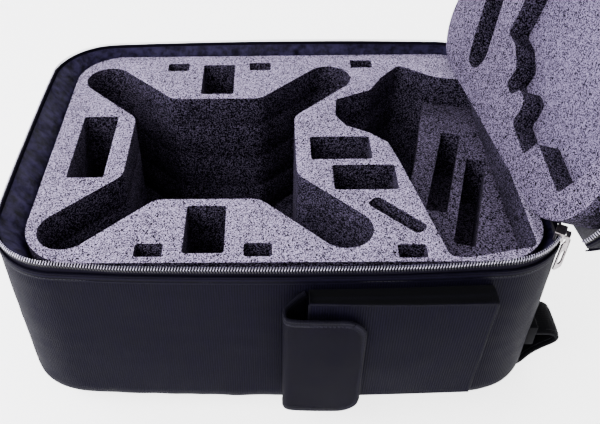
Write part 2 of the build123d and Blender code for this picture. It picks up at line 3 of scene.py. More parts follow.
import json
import logging
import math
from dataclasses import dataclass
from enum import Enum
from functools import cached_property
from typing import Callable, Iterable, Sequence

import bpy
from mathutils import Matrix, Vector, noise

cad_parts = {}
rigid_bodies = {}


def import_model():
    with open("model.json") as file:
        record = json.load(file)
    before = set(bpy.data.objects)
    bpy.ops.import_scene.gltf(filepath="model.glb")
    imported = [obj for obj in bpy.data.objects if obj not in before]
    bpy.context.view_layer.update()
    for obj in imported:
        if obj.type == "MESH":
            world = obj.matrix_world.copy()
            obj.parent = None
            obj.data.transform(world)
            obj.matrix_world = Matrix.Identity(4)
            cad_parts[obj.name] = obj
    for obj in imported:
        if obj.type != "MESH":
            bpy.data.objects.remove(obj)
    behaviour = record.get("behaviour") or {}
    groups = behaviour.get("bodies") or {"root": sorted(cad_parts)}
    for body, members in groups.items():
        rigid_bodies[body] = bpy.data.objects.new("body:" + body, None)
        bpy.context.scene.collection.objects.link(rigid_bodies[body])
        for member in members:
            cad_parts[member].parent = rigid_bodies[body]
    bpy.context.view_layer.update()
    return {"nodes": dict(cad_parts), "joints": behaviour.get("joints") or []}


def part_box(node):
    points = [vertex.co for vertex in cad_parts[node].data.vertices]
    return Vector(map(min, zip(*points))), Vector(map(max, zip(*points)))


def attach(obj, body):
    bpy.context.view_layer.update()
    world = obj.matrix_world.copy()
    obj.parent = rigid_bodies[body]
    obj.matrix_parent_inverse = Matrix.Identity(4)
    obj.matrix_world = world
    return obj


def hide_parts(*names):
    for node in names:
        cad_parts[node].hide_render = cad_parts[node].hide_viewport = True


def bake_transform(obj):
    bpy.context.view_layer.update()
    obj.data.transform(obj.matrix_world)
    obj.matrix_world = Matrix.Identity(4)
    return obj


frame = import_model()

LOG = logging.getLogger("case")
MM = 0.001
Place = Callable[[float, float], Vector]
Route = tuple[tuple[float, float], ...]


class Body(str, Enum):
    """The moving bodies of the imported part."""

    BASE = "base"
    LID = "lid"
    FLAP = "flap"
    HANDLE = "handle"


class Weave(Enum):
    """How a cloth's threads show."""

    RIBBED = "ribbed"
    TWILL = "twill"
    MESH = "mesh"


# ------------------------------------------------------------------ shader tools
class Value:
    """A number on its way through a material; arithmetic on it adds Math nodes."""

    def __init__(self, paint: "Paint", socket: bpy.types.NodeSocket) -> None:
        """Wrap an output socket of the material that paint builds."""
        self.paint = paint
        self.socket = socket

    def _math(self, operation: str, *values: "Value | float") -> "Value":
        """Add a Math node.

        Args:
            operation: the node's operation.
            values: its inputs in order.

        Returns:
            The node's result.
        """
        made = self.paint.node("ShaderNodeMath", {"operation": operation}, dict(enumerate(values)))
        return Value(self.paint, made.outputs[0])

    def __add__(self, other: "Value | float") -> "Value":
        """Sum."""
        return self._math("ADD", self, other)

    __radd__ = __add__

    def __sub__(self, other: "Value | float") -> "Value":
        """Difference."""
        return self._math("SUBTRACT", self, other)

    def __rsub__(self, other: float) -> "Value":
        """Difference from a plain number."""
        return self._math("SUBTRACT", other, self)

    def __mul__(self, other: "Value | float") -> "Value":
        """Product."""
        return self._math("MULTIPLY", self, other)

    __rmul__ = __mul__

    def sine(self) -> "Value":
        """The sine of this value in radians."""
        return self._math("SINE", self)

    def ramp(self, low: float, high: float) -> "Value":
        """Nought below low, one above high, smooth between.

        Args:
            low: where the ramp starts.
            high: where it ends.

        Returns:
            The smoothed step.
        """
        made = self.paint.node(
            "ShaderNodeMapRange",
            {"interpolation_type": "SMOOTHSTEP"},
            {"Value": self, "From Min": low, "From Max": high},
        )
        return Value(self.paint, made.outputs[0])


Colour = tuple[float, float, float]


def srgb(red: float, green: float, blue: float) -> Colour:
    """A screen colour of 0 to 255 as linear light.

    Args:
        red: red part.
        green: green part.
        blue: blue part.

    Returns:
        The linear colour.
    """
    parts = (value / 255 for value in (red, green, blue))
    linear = [part / 12.92 if part <= 0.04045 else ((part + 0.055) / 1.055) ** 2.4 for part in parts]
    return (linear[0], linear[1], linear[2])


class Paint:
    """Builds one node material round a Principled shader."""

    def __init__(self, name: str) -> None:
        """Start an empty material of that name."""
        self.material = bpy.data.materials.new(name)
        self.material.use_nodes = True
        self.tree = self.material.node_tree
        self.shader = next(n for n in self.tree.nodes if n.type == "BSDF_PRINCIPLED")

    def node(self, kind: str, settings: dict, values: dict) -> bpy.types.ShaderNode:
        """Add a node.

        Args:
            kind: the node's type.
            settings: its properties, set first.
            values: its inputs by name or number, as values or links.

        Returns:
            The new node.
        """
        made = self.tree.nodes.new(kind)
        for key, value in settings.items():
            setattr(made, key, value)
        for key, value in values.items():
            self._feed(made.inputs[key], value)
        return made

    def _feed(self, socket: bpy.types.NodeSocket, value: object) -> None:
        """Link or set one input.

        Args:
            socket: the input.
            value: a Value, an output socket, a number or a vector.
        """
        if isinstance(value, Value):
            self.tree.links.new(value.socket, socket)
        elif isinstance(value, bpy.types.NodeSocket):
            self.tree.links.new(value, socket)
        elif isinstance(value, tuple) and socket.type == "RGBA":
            socket.default_value = (*value[:3], 1.0)
        else:
            socket.default_value = value

    def place(self, scale: tuple[float, float, float], by_cut: bool = False) -> bpy.types.NodeSocket:
        """Pattern coordinates in metres, scaled.

        Args:
            scale: how much each direction is scaled.
            by_cut: follow the cloth's own cut instead of the object.

        Returns:
            The scaled vector.
        """
        source = self.node("ShaderNodeTexCoord", {}, {})
        mapping = self.node(
            "ShaderNodeMapping", {}, {"Vector": source.outputs["UV" if by_cut else "Object"], "Scale": scale}
        )
        return mapping.outputs[0]

    def noise(self, scale: float, detail: float = 2.0, rough: float = 0.5, where: object = None) -> Value:
        """Soft noise from 0 to 1.

        Args:
            scale: features per metre, or per unit of where.
            detail: octaves.
            rough: how strong the fine octaves are.
            where: pattern coordinates, else the object's own.

        Returns:
            The noise.
        """
        vector = where or self.place((1.0, 1.0, 1.0))
        made = self.node(
            "ShaderNodeTexNoise", {}, {"Vector": vector, "Scale": scale, "Detail": detail, "Roughness": rough}
        )
        return Value(self, made.outputs["Fac"])

    def cells(self, scale: float, output: str = "Color") -> Value:
        """Random grains.

        Args:
            scale: grains per metre.
            output: "Color" for one random number a grain, "Distance" for how far its middle is.

        Returns:
            The value of each grain.
        """
        made = self.node("ShaderNodeTexVoronoi", {}, {"Vector": self.place((1.0, 1.0, 1.0)), "Scale": scale})
        if output == "Distance":
            return Value(self, made.outputs["Distance"])
        split = self.node("ShaderNodeSeparateColor", {}, {"Color": made.outputs["Color"]})
        return Value(self, split.outputs[0])

    def threads(self, direction: int, pitch: float, by_cut: bool = True) -> Value:
        """Even lines from -1 to 1.

        Args:
            direction: 0 or 1 for the cut's width or length, or 2 for height.
            pitch: millimetres from line to line.
            by_cut: follow the cloth's own cut instead of the object.

        Returns:
            A sine across the lines.
        """
        split = self.node("ShaderNodeSeparateXYZ", {}, {"Vector": self.place((1.0, 1.0, 1.0), by_cut)})
        return (Value(self, split.outputs[direction]) * (2 * math.pi / (pitch * MM))).sine()

    def blend(self, mask: "Value | float", low: object, high: object) -> bpy.types.NodeSocket:
        """Mix two colours.

        Args:
            mask: nought gives low, one gives high.
            low: a colour or link.
            high: a colour or link.

        Returns:
            The mixed colour.
        """
        made = self.node("ShaderNodeMix", {"data_type": "RGBA"}, {0: mask, 6: low, 7: high})
        return made.outputs[2]

    def finish(
        self,
        colour: object,
        roughness: "Value | float",
        height: "Value | None" = None,
        depth: float = 0.3,
        **constants: object,
    ) -> bpy.types.Material:
        """Feed the shader.

        Args:
            colour: the base colour.
            roughness: its roughness.
            height: relief in units of depth.
            depth: millimetres of relief.
            constants: other sockets of the shader by name, spaces as underscores.

        Returns:
            The finished material.
        """
        self._feed(self.shader.inputs["Base Color"], colour)
        self._feed(self.shader.inputs["Roughness"], roughness)
        if height is not None:
            relief = {"Height": height, "Distance": depth * MM, "Strength": 1.0}
            bump = self.node("ShaderNodeBump", {}, relief)
            self._feed(self.shader.inputs["Normal"], bump.outputs[0])
        for key, value in constants.items():
            self._feed(self.shader.inputs[key.replace("_", " ")], value)
        return self.material


# ------------------------------------------------------------------ finishes
@dataclass(frozen=True)
class FoamFinish:
    """Open foam: grains of two shades, finer specks and a rough surface."""

    name: str
    light: Colour
    dark: Colour
    share: float
    grain: float = 1.25
    relief: float = 0.5

    def material(self) -> bpy.types.Material:
        """The foam's material."""
        paint = Paint(self.name)
        coarse = paint.cells(1 / (self.grain * MM))
        fine = paint.noise(1.0 / (self.grain * MM), 3.0, 0.7)
        patch = paint.noise(28.0, 2.0)
        mixed = coarse * 0.8 + fine * 0.42 + (patch - 0.5) * 0.12
        edge = 0.31 + 0.6 * self.share
        mask = mixed.ramp(edge - 0.15, edge + 0.15)
        colour = paint.blend(mask, self.dark, self.light)
        return paint.finish(colour, 0.93, mixed, self.relief, Specular_IOR_Level=0.05)


@dataclass(frozen=True)
class ClothFinish:
    """Woven cloth with a soft sheen."""

    name: str
    base: Colour
    thread: Colour
    weave: Weave = Weave.RIBBED
    pitch: float = 1.2
    roughness: float = 0.62
    sheen: float = 0.006
    relief: float = 0.2
    mottle: float = 0.2
    gloss: float = 0.02

    def material(self) -> bpy.types.Material:
        """The cloth's material."""
        paint = Paint(self.name)
        along = paint.threads(0, self.pitch)
        across = paint.threads(1, self.pitch * (1.0 if self.weave is Weave.MESH else 0.55))
        drift = paint.noise(60.0, 4.0, 0.6)
        slub = paint.noise(420.0, 2.0, 0.6)
        if self.weave is Weave.RIBBED:
            relief = along * 0.5 + across * 0.22 + slub * 0.9
        elif self.weave is Weave.TWILL:
            relief = (along + across) * 0.35 + along * across * 0.4 + slub * 0.5
        else:
            relief = (along * across).ramp(-0.2, 0.6) * 1.6 + slub * 0.3
        tone = (relief * 0.42 + (drift - 0.5) * self.mottle * 2.0 + 0.28).ramp(0.0, 1.0)
        colour = paint.blend(tone, self.base, self.thread)
        return paint.finish(
            colour,
            (drift - 0.5) * 0.25 + self.roughness,
            relief,
            self.relief,
            Sheen_Weight=self.sheen,
            Sheen_Roughness=0.45,
            Sheen_Tint=srgb(196, 192, 235),
            Specular_IOR_Level=self.gloss,
        )


@dataclass(frozen=True)
class SatinFinish:
    """Thin shiny lining cloth, with a painted sheen that lightens the tops of its puckers."""

    name: str = "satin_lining"
    base: Colour = srgb(8, 6, 18)
    # light is the painted sheen colour laid on the tops of the creases.
    light: Colour = srgb(46, 40, 70)

    def material(self) -> bpy.types.Material:
        """The lining's material."""
        paint = Paint(self.name)
        crease = paint.noise(120.0, 4.0, 0.65)
        weft = paint.threads(1, 0.5)
        # The colour lightens where the crease relief is high: painted sheen on the tops of the puckers,
        # standing in for the satin's reflection.
        colour = paint.blend(crease.ramp(0.3, 0.75), self.base, self.light)
        return paint.finish(
            colour,
            (crease - 0.5) * 0.3 + 0.42,
            crease * 1.4 + weft * 0.05,
            0.5,
            Sheen_Weight=0.005,
            Sheen_Tint=srgb(170, 165, 220),
            Specular_IOR_Level=0.08,
        )


@dataclass(frozen=True)
class MetalFinish:
    """Plated metal with fine wear."""

    name: str
    tone: Colour
    worn: Colour
    roughness: float = 0.3

    def material(self) -> bpy.types.Material:
        """The plating's material."""
        paint = Paint(self.name)
        wear = paint.noise(260.0, 4.0, 0.7)
        scratch = paint.noise(900.0, 2.0, 0.5, paint.place((1.0, 1.0, 0.12)))
        colour = paint.blend(wear.ramp(0.35, 0.8), self.tone, self.worn)
        return paint.finish(
            colour, (wear - 0.5) * 0.35 + self.roughness + (scratch - 0.5) * 0.2, scratch, 0.02, Metallic=1.0
        )


@dataclass(frozen=True)
class BoardFinish:
    """Pressed stiffening board or moulded trim."""

    name: str
    tone: Colour
    fibre: Colour
    roughness: float = 0.7

    def material(self) -> bpy.types.Material:
        """The board's material."""
        paint = Paint(self.name)
        fibre = paint.noise(700.0, 4.0, 0.7)
        colour = paint.blend(fibre.ramp(0.3, 0.8), self.tone, self.fibre)
        return paint.finish(colour, (fibre - 0.5) * 0.3 + self.roughness, fibre, 0.1)


@dataclass(frozen=True)
class HookLoopFinish:
    """A touch fastener's field of hooks or loops."""

    name: str = "hook_and_loop"

    def material(self) -> bpy.types.Material:
        """The fastener's material."""
        paint = Paint(self.name)
        dots = paint.cells(700.0, "Distance")
        colour = paint.blend(dots.ramp(0.1, 0.5), srgb(14, 14, 20), srgb(52, 50, 60))
        return paint.finish(colour, 0.85, dots, 0.5)


class Finishes:
    """Every material of the case, made once."""

    def __init__(self) -> None:
        """Make the materials."""
        self.skin = FoamFinish("foam_skin", srgb(190, 176, 214), srgb(8, 6, 14), 0.56, 0.68).material()
        # The lid's foam is the same as the base's skin, painted darker as shade because the open lid is lit
        # less.
        self.lid_skin_painted_shade = FoamFinish(
            "lid_foam_skin_painted_shade", srgb(126, 114, 144), srgb(7, 6, 12), 0.56, 0.75, 0.45
        ).material()
        self.recess = FoamFinish(
            "lid_foam_recess", srgb(130, 118, 150), srgb(14, 12, 22), 0.48, 0.75, 0.45
        ).material()
        self.cut = FoamFinish("foam_cut_wall", srgb(92, 83, 108), srgb(4, 3, 8), 0.84, 0.8).material()
        self.deep = FoamFinish("foam_tray", srgb(100, 90, 116), srgb(8, 7, 12), 0.6, 0.85).material()
        self.cloth = ClothFinish("case_fabric", srgb(1, 1, 3), srgb(15, 12, 27), pitch=2.2).material()
        self.flap = ClothFinish("flap_fabric", srgb(2, 1, 5), srgb(18, 15, 29), Weave.TWILL, 0.9).material()
        self.tape = ClothFinish(
            "zip_tape", srgb(5, 4, 8), srgb(24, 21, 34), Weave.RIBBED, 0.9, 0.7, 0.006, 0.12, 0.12
        ).material()
        self.binding = ClothFinish(
            "edge_binding", srgb(1, 1, 4), srgb(26, 23, 37), Weave.TWILL, 2.2, 0.7, 0.01, 0.45, 0.3, 0.05
        ).material()
        self.mesh = ClothFinish(
            "back_mesh", srgb(6, 6, 9), srgb(22, 21, 28), Weave.MESH, 2.4, 0.85, 0.05, 0.7, 0.1
        ).material()
        self.webbing = ClothFinish(
            "strap_fabric", srgb(3, 3, 5), srgb(9, 9, 12), Weave.TWILL, 0.8, 0.8, 0.02, 0.1, 0.2, 0.06
        ).material()
        self.satin = SatinFinish().material()
        self.nickel = MetalFinish("nickel", srgb(150, 142, 144), srgb(96, 90, 93), 0.36).material()
        self.teeth = MetalFinish("zip_teeth", srgb(186, 182, 198), srgb(110, 106, 122), 0.3).material()
        self.shade = BoardFinish("zip_coil_shade", srgb(5, 5, 8), srgb(20, 19, 25), 0.6).material()
        self.board = BoardFinish("stiff_board", srgb(40, 39, 44), srgb(78, 76, 82)).material()
        self.thread = BoardFinish("sewing_thread", srgb(8, 8, 13), srgb(32, 30, 44), 0.6).material()
        self.hooks = HookLoopFinish().material()


# ------------------------------------------------------------------ modelling tools
def deselect() -> None:
    """Leave nothing selected."""
    for thing in bpy.context.view_layer.objects:
        thing.select_set(False)


def activate(piece: bpy.types.Object) -> None:
    """Select one piece alone and make it active."""
    deselect()
    piece.select_set(True)
    bpy.context.view_layer.objects.active = piece


def edit(piece: bpy.types.Object, work: Callable[[], object]) -> None:
    """Run operators in edit mode with all of a piece selected.

    Args:
        piece: the mesh object.
        work: what to do there.
    """
    activate(piece)
    bpy.ops.object.mode_set(mode="EDIT")
    bpy.ops.mesh.select_all(action="SELECT")
    work()
    bpy.ops.object.mode_set(mode="OBJECT")


def modify(piece: bpy.types.Object, kind: str, **settings: object) -> None:
    """Add a modifier and apply it.

    Args:
        piece: the mesh object.
        kind: the modifier's type.
        settings: its properties.
    """
    activate(piece)
    made = piece.modifiers.new(kind.title(), kind)
    for key, value in settings.items():
        setattr(made, key, value)
    bpy.ops.object.modifier_apply(modifier=made.name)


def smooth(piece: bpy.types.Object, angle: float = 35.0) -> None:
    """Shade smooth where faces meet at less than angle degrees."""
    activate(piece)
    bpy.ops.object.shade_smooth_by_angle(angle=math.radians(angle), keep_sharp_edges=False)


def merge(piece: bpy.types.Object, distance: float = 0.02) -> None:
    """Join vertices closer than distance millimetres."""
    edit(piece, lambda: bpy.ops.mesh.remove_doubles(threshold=distance * MM))


def outward(piece: bpy.types.Object) -> None:
    """Turn a closed piece's faces outwards."""
    edit(piece, lambda: bpy.ops.mesh.normals_make_consistent(inside=False))


def paint(piece: bpy.types.Object, *materials: bpy.types.Material) -> None:
    """Give a piece its material slots."""
    piece.data.materials.clear()
    for material in materials:
        piece.data.materials.append(material)


def wrapped(
    name: str, columns: int, rows: int, place: Place, cut: tuple[float, float], loop: bool = False
) -> bpy.types.Object:
    """A flat grid of cloth carried to its place, its pattern kept on the cut.

    Args:
        name: the piece's name.
        columns: quads along the cut's first side.
        rows: quads along its second side.
        place: where a point of the cut goes, from two numbers from 0 to 1, in millimetres.
        cut: the cut's two sides in millimetres.
        loop: the first side closes on itself.

    Returns:
        The piece.
    """
    deselect()
    bpy.ops.mesh.primitive_grid_add(x_subdivisions=columns, y_subdivisions=rows, size=1.0)
    piece = bpy.context.active_object
    piece.name = piece.data.name = name
    for vertex in piece.data.vertices:
        vertex.co = place(vertex.co.x + 0.5, vertex.co.y + 0.5) * MM
    for corner in piece.data.uv_layers[0].data:
        corner.uv = (corner.uv[0] * cut[0] * MM, corner.uv[1] * cut[1] * MM)
    if loop:
        merge(piece)
    return piece


def tube(
    name: str, sides: int, path: Sequence[Vector], across: Callable[[float, float], tuple[float, float]],
    side: Vector, girth: float,
) -> bpy.types.Object:
    """A closed skin along a path, such as a strap or a rolled edge.

    Args:
        name: the piece's name.
        sides: quads round it.
        path: points along it in millimetres.
        across: its section from the turn (0 to 1) and the place along it (0 to 1), as an
            offset along side and one square to side and path.
        side: the direction of the section's first offset.
        girth: millimetres round it, for the pattern.

    Returns:
        The piece, with closed ends.
    """
    steps = len(path) - 1
    length = sum((b - a).length for a, b in zip(path, path[1:]))
    frames = []
    for index, spot in enumerate(path):
        run = (path[min(index + 1, steps)] - path[max(index - 1, 0)]).normalized()
        flat = (side - run * side.dot(run)).normalized()
        frames.append((spot, flat, run.cross(flat)))

    def place(turn: float, along: float) -> Vector:
        """Where a point of the skin goes."""
        spot, flat, square = frames[min(steps, round(along * steps))]
        first, second = across(turn, along)
        return spot + flat * first + square * second

    piece = wrapped(name, sides, steps, place, (girth, length), loop=True)
    close_holes(piece)
    outward(piece)
    return piece


def close_holes(piece: bpy.types.Object) -> None:
    """Cap every open edge loop."""

    def work() -> None:
        """Select the open edges and fill them."""
        bpy.ops.mesh.select_all(action="DESELECT")
        bpy.ops.mesh.select_mode(type="EDGE")
        bpy.ops.mesh.select_non_manifold(
            extend=False, use_wire=False, use_multi_face=False, use_non_contiguous=False
        )
        bpy.ops.mesh.fill_holes(sides=0)

    edit(piece, work)


def softened(name: str, node: str, width: float, segments: int = 2, angle: float = 32.0) -> bpy.types.Object:
    """A merged copy of a CAD node with its edges rounded; it stands for the node.

    Args:
        name: the new piece's name.
        node: the CAD node.
        width: millimetres of rounding.
        segments: faces across the rounding.
        angle: edges sharper than this many degrees are rounded.

    Returns:
        The new piece.
    """
    piece = bpy.data.objects.new(name, frame["nodes"][node].data.copy())
    bpy.context.collection.objects.link(piece)
    piece.data.name = name

    def work() -> None:
        """Merge the loose triangles and take out flat edges."""
        bpy.ops.mesh.remove_doubles(threshold=0.005 * MM)
        bpy.ops.mesh.dissolve_limited(angle_limit=math.radians(0.6))

    edit(piece, work)
    if width:
        modify(
            piece, "BEVEL", width=width * MM, segments=segments, limit_method="ANGLE",
            angle_limit=math.radians(angle), use_clamp_overlap=True,
        )
    smooth(piece)
    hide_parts(node)
    return piece


def repeated(name: str, pattern: bpy.types.Object, places: Iterable[Matrix]) -> bpy.types.Object:
    """Many copies of one small shape as a single mesh; the pattern is used up.

    Args:
        name: the new piece's name.
        pattern: the shape, modelled at the origin.
        places: where each copy goes.

    Returns:
        The new piece.
    """
    shape = pattern.data
    corners: list[Vector] = []
    faces: list[tuple[int, ...]] = []
    slots: list[int] = []
    for matrix in places:
        start = len(corners)
        corners.extend(matrix @ vertex.co for vertex in shape.vertices)
        faces.extend(tuple(start + index for index in face.vertices) for face in shape.polygons)
        slots.extend(face.material_index for face in shape.polygons)
    mesh = bpy.data.meshes.new(name)
    mesh.from_pydata(corners, [], faces)
    for material in shape.materials:
        mesh.materials.append(material)
    mesh.polygons.foreach_set("material_index", slots)
    piece = bpy.data.objects.new(name, mesh)
    bpy.context.collection.objects.link(piece)
    bpy.data.objects.remove(pattern)
    smooth(piece)
    return piece


def joined(name: str, *parts: bpy.types.Object) -> bpy.types.Object:
    """Join meshes into the first and rename it.

    Args:
        name: the new name.
        parts: the meshes.

    Returns:
        The joined piece.
    """
    activate(parts[0])
    for part in parts:
        part.select_set(True)
    bpy.ops.object.join()
    parts[0].name = parts[0].data.name = name
    return parts[0]


def tidy_path(points: Sequence[Vector], steps: int, rounds: int = 4) -> list[Vector]:
    """A smooth path that cuts the corners of a route, in equal steps.

    Args:
        points: the route's corners.
        steps: how many steps the path has.
        rounds: how often the corners are cut.

    Returns:
        The path's points.
    """
    route = list(points)
    for _ in range(rounds):
        cut = [route[0]]
        for a, b in zip(route, route[1:]):
            cut += [a.lerp(b, 0.25), a.lerp(b, 0.75)]
        route = cut + [route[-1]]
    lengths = [0.0]
    for a, b in zip(route, route[1:]):
        lengths.append(lengths[-1] + (b - a).length)
    path, index = [], 0
    for step in range(steps + 1):
        goal = lengths[-1] * step / steps
        while index < len(route) - 2 and lengths[index + 1] < goal:
            index += 1
        span = (lengths[index + 1] - lengths[index]) or 1.0
        path.append(route[index].lerp(route[index + 1], (goal - lengths[index]) / span))
    return path


def flat_section(
    width: float, thick: float, power: float
) -> Callable[[float, float], tuple[float, float]]:
    """A strap's section, flat with rounded edges.

    Args:
        width: its width.
        thick: its thickness.
        power: how square it is.

    Returns:
        The section for tube().
    """

    def across(turn: float, _: float) -> tuple[float, float]:
        """A point of the section."""
        c, s = math.cos(2 * math.pi * turn), math.sin(2 * math.pi * turn)
        first = math.copysign(abs(c) ** (2 / power), c) * width / 2
        second = math.copysign(abs(s) ** (2 / power), s) * thick / 2
        return first, second

    return across


def ripple(x: float, y: float, z: float, size: float) -> float:
    """Smooth noise from -1 to 1 with features of size millimetres."""
    return noise.noise(Vector((x, y, z)) / size)


def body_joint(name: str) -> tuple[Vector, Vector]:
    """A joint's place in millimetres and its axis."""
    found = next(j for j in frame["joints"] if j["name"] == name)
    return Vector(found["pos_m"]) / MM, Vector(found["axis"]).normalized()


# ------------------------------------------------------------------ the case's outline
@dataclass(frozen=True)
class Outline:
    """The case from above: four wide arcs that meet in round corners, in millimetres."""

    half_length: float = 246.5
    half_width: float = 177.0
    side_bow: float = 8.5
    end_bow: float = 3.0
    corner: float = 65.0

    @cached_property
    def arcs(self) -> tuple[tuple[float, float, float, float], ...]:
        """Each arc of a quarter: centre X, centre Y, radius, and the angle where it ends."""
        side = (self.half_length**2 + self.side_bow**2) / (2 * self.side_bow)
        end = (self.half_width**2 + self.end_bow**2) / (2 * self.end_bow)
        drop = side - self.half_width - self.side_bow
        back = end - self.half_length - self.end_bow
        x = y = 100.0
        for _ in range(30):
            y = math.sqrt((side - self.corner) ** 2 - x * x) - drop
            x = math.sqrt((end - self.corner) ** 2 - y * y) - back
        first = math.atan2(y, x + back)
        second = math.atan2(y + drop, x)
        return ((-back, 0.0, end, first), (x, y, self.corner, second), (0.0, -drop, side, math.pi / 2))

    @cached_property
    def quarter(self) -> float:
        """The length of a quarter of the outline."""
        before, total = 0.0, 0.0
        for _, _, radius, angle in self.arcs:
            total += radius * (angle - before)
            before = angle
        return total

    @property
    def length(self) -> float:
        """The whole length round."""
        return 4 * self.quarter

    def at(self, run: float, inset: float = 0.0) -> tuple[Vector, Vector]:
        """A place on the outline.

        Args:
            run: millimetres from the hinge side's middle, turning to the far side first.
            inset: how far inside.

        Returns:
            The point at height nought, and the outward direction.
        """
        part = int(run // self.quarter)
        rest = run - part * self.quarter
        part %= 4
        if part % 2:
            rest = self.quarter - rest
        before = 0.0
        for x, y, radius, angle in self.arcs:
            if rest <= radius * (angle - before) + 1e-6 or angle > 1.57:
                turn = before + rest / radius
                break
            rest -= radius * (angle - before)
            before = angle
        c, s = math.cos(turn), math.sin(turn)
        sign_x = 1 if part in (0, 3) else -1
        sign_y = 1 if part in (0, 1) else -1
        spot = Vector(((x + (radius - inset) * c) * sign_x, (y + (radius - inset) * s) * sign_y, 0.0))
        return spot, Vector((c * sign_x, s * sign_y, 0.0))

    def near_run(self, x: float) -> float:
        """The run at which the near side passes a given X."""
        low, high = 2 * self.quarter, 4 * self.quarter
        for _ in range(40):
            middle = (low + high) / 2
            if self.at(middle)[0].x < x:
                low = middle
            else:
                high = middle
        return low

    def open_run(self, limit: float, slope: float = 0.0) -> tuple[float, float]:
        """The part of the outline short of a line across the hinge end.

        Args:
            limit: X where the line crosses the middle.
            slope: how the line leans, in X for each millimetre of Y.

        Returns:
            The runs at its two ends.
        """
        ends = []
        for low, high in ((0.0, self.quarter), (4 * self.quarter, 3 * self.quarter)):
            for _ in range(40):
                middle = (low + high) / 2
                spot = self.at(middle)[0]
                if spot.x > limit - slope * spot.y:
                    low = middle
                else:
                    high = middle
            ends.append(high)
        return ends[0], ends[1]


OUTLINE = Outline()
FOAM_TOP = 191.0
FOAM_CENTRE = (5.0, 3.0)
FOAM_HALF = (228.5, 169.5)
FOAM_CORNER = 50.0
LID_OPEN = math.radians(110.0)
ZIP_END = 232.0
RIM_FOOT = 184.0
RIM_HEIGHT = 20.0
CUT_SLOPE = 0.0524


def lid_open(piece: bpy.types.Object) -> bpy.types.Object:
    """Swing a piece modelled on the closed lid to the open lid, in its mesh."""
    spot, axis = body_joint("lid_hinge")
    turn = Matrix.Rotation(LID_OPEN, 4, axis)
    shift = Matrix.Translation(spot * MM)
    piece.data.transform(shift @ turn @ shift.inverted())
    return piece


# ------------------------------------------------------------------ the sewn base
def foam_reach(spot: Vector, out: Vector) -> float:
    """How far inwards from a place on the outline the foam block starts.

    Args:
        spot: the place.
        out: the outward direction there.

    Returns:
        Millimetres inwards.
    """
    step = 0.0
    while step < 45.0:
        here = spot - out * step
        x = max(abs(here.x - FOAM_CENTRE[0]) - (FOAM_HALF[0] - FOAM_CORNER), 0.0)
        y = max(abs(here.y - FOAM_CENTRE[1]) - (FOAM_HALF[1] - FOAM_CORNER), 0.0)
        if math.hypot(x, y) <= FOAM_CORNER:
            return step
        step += 0.5
    return step


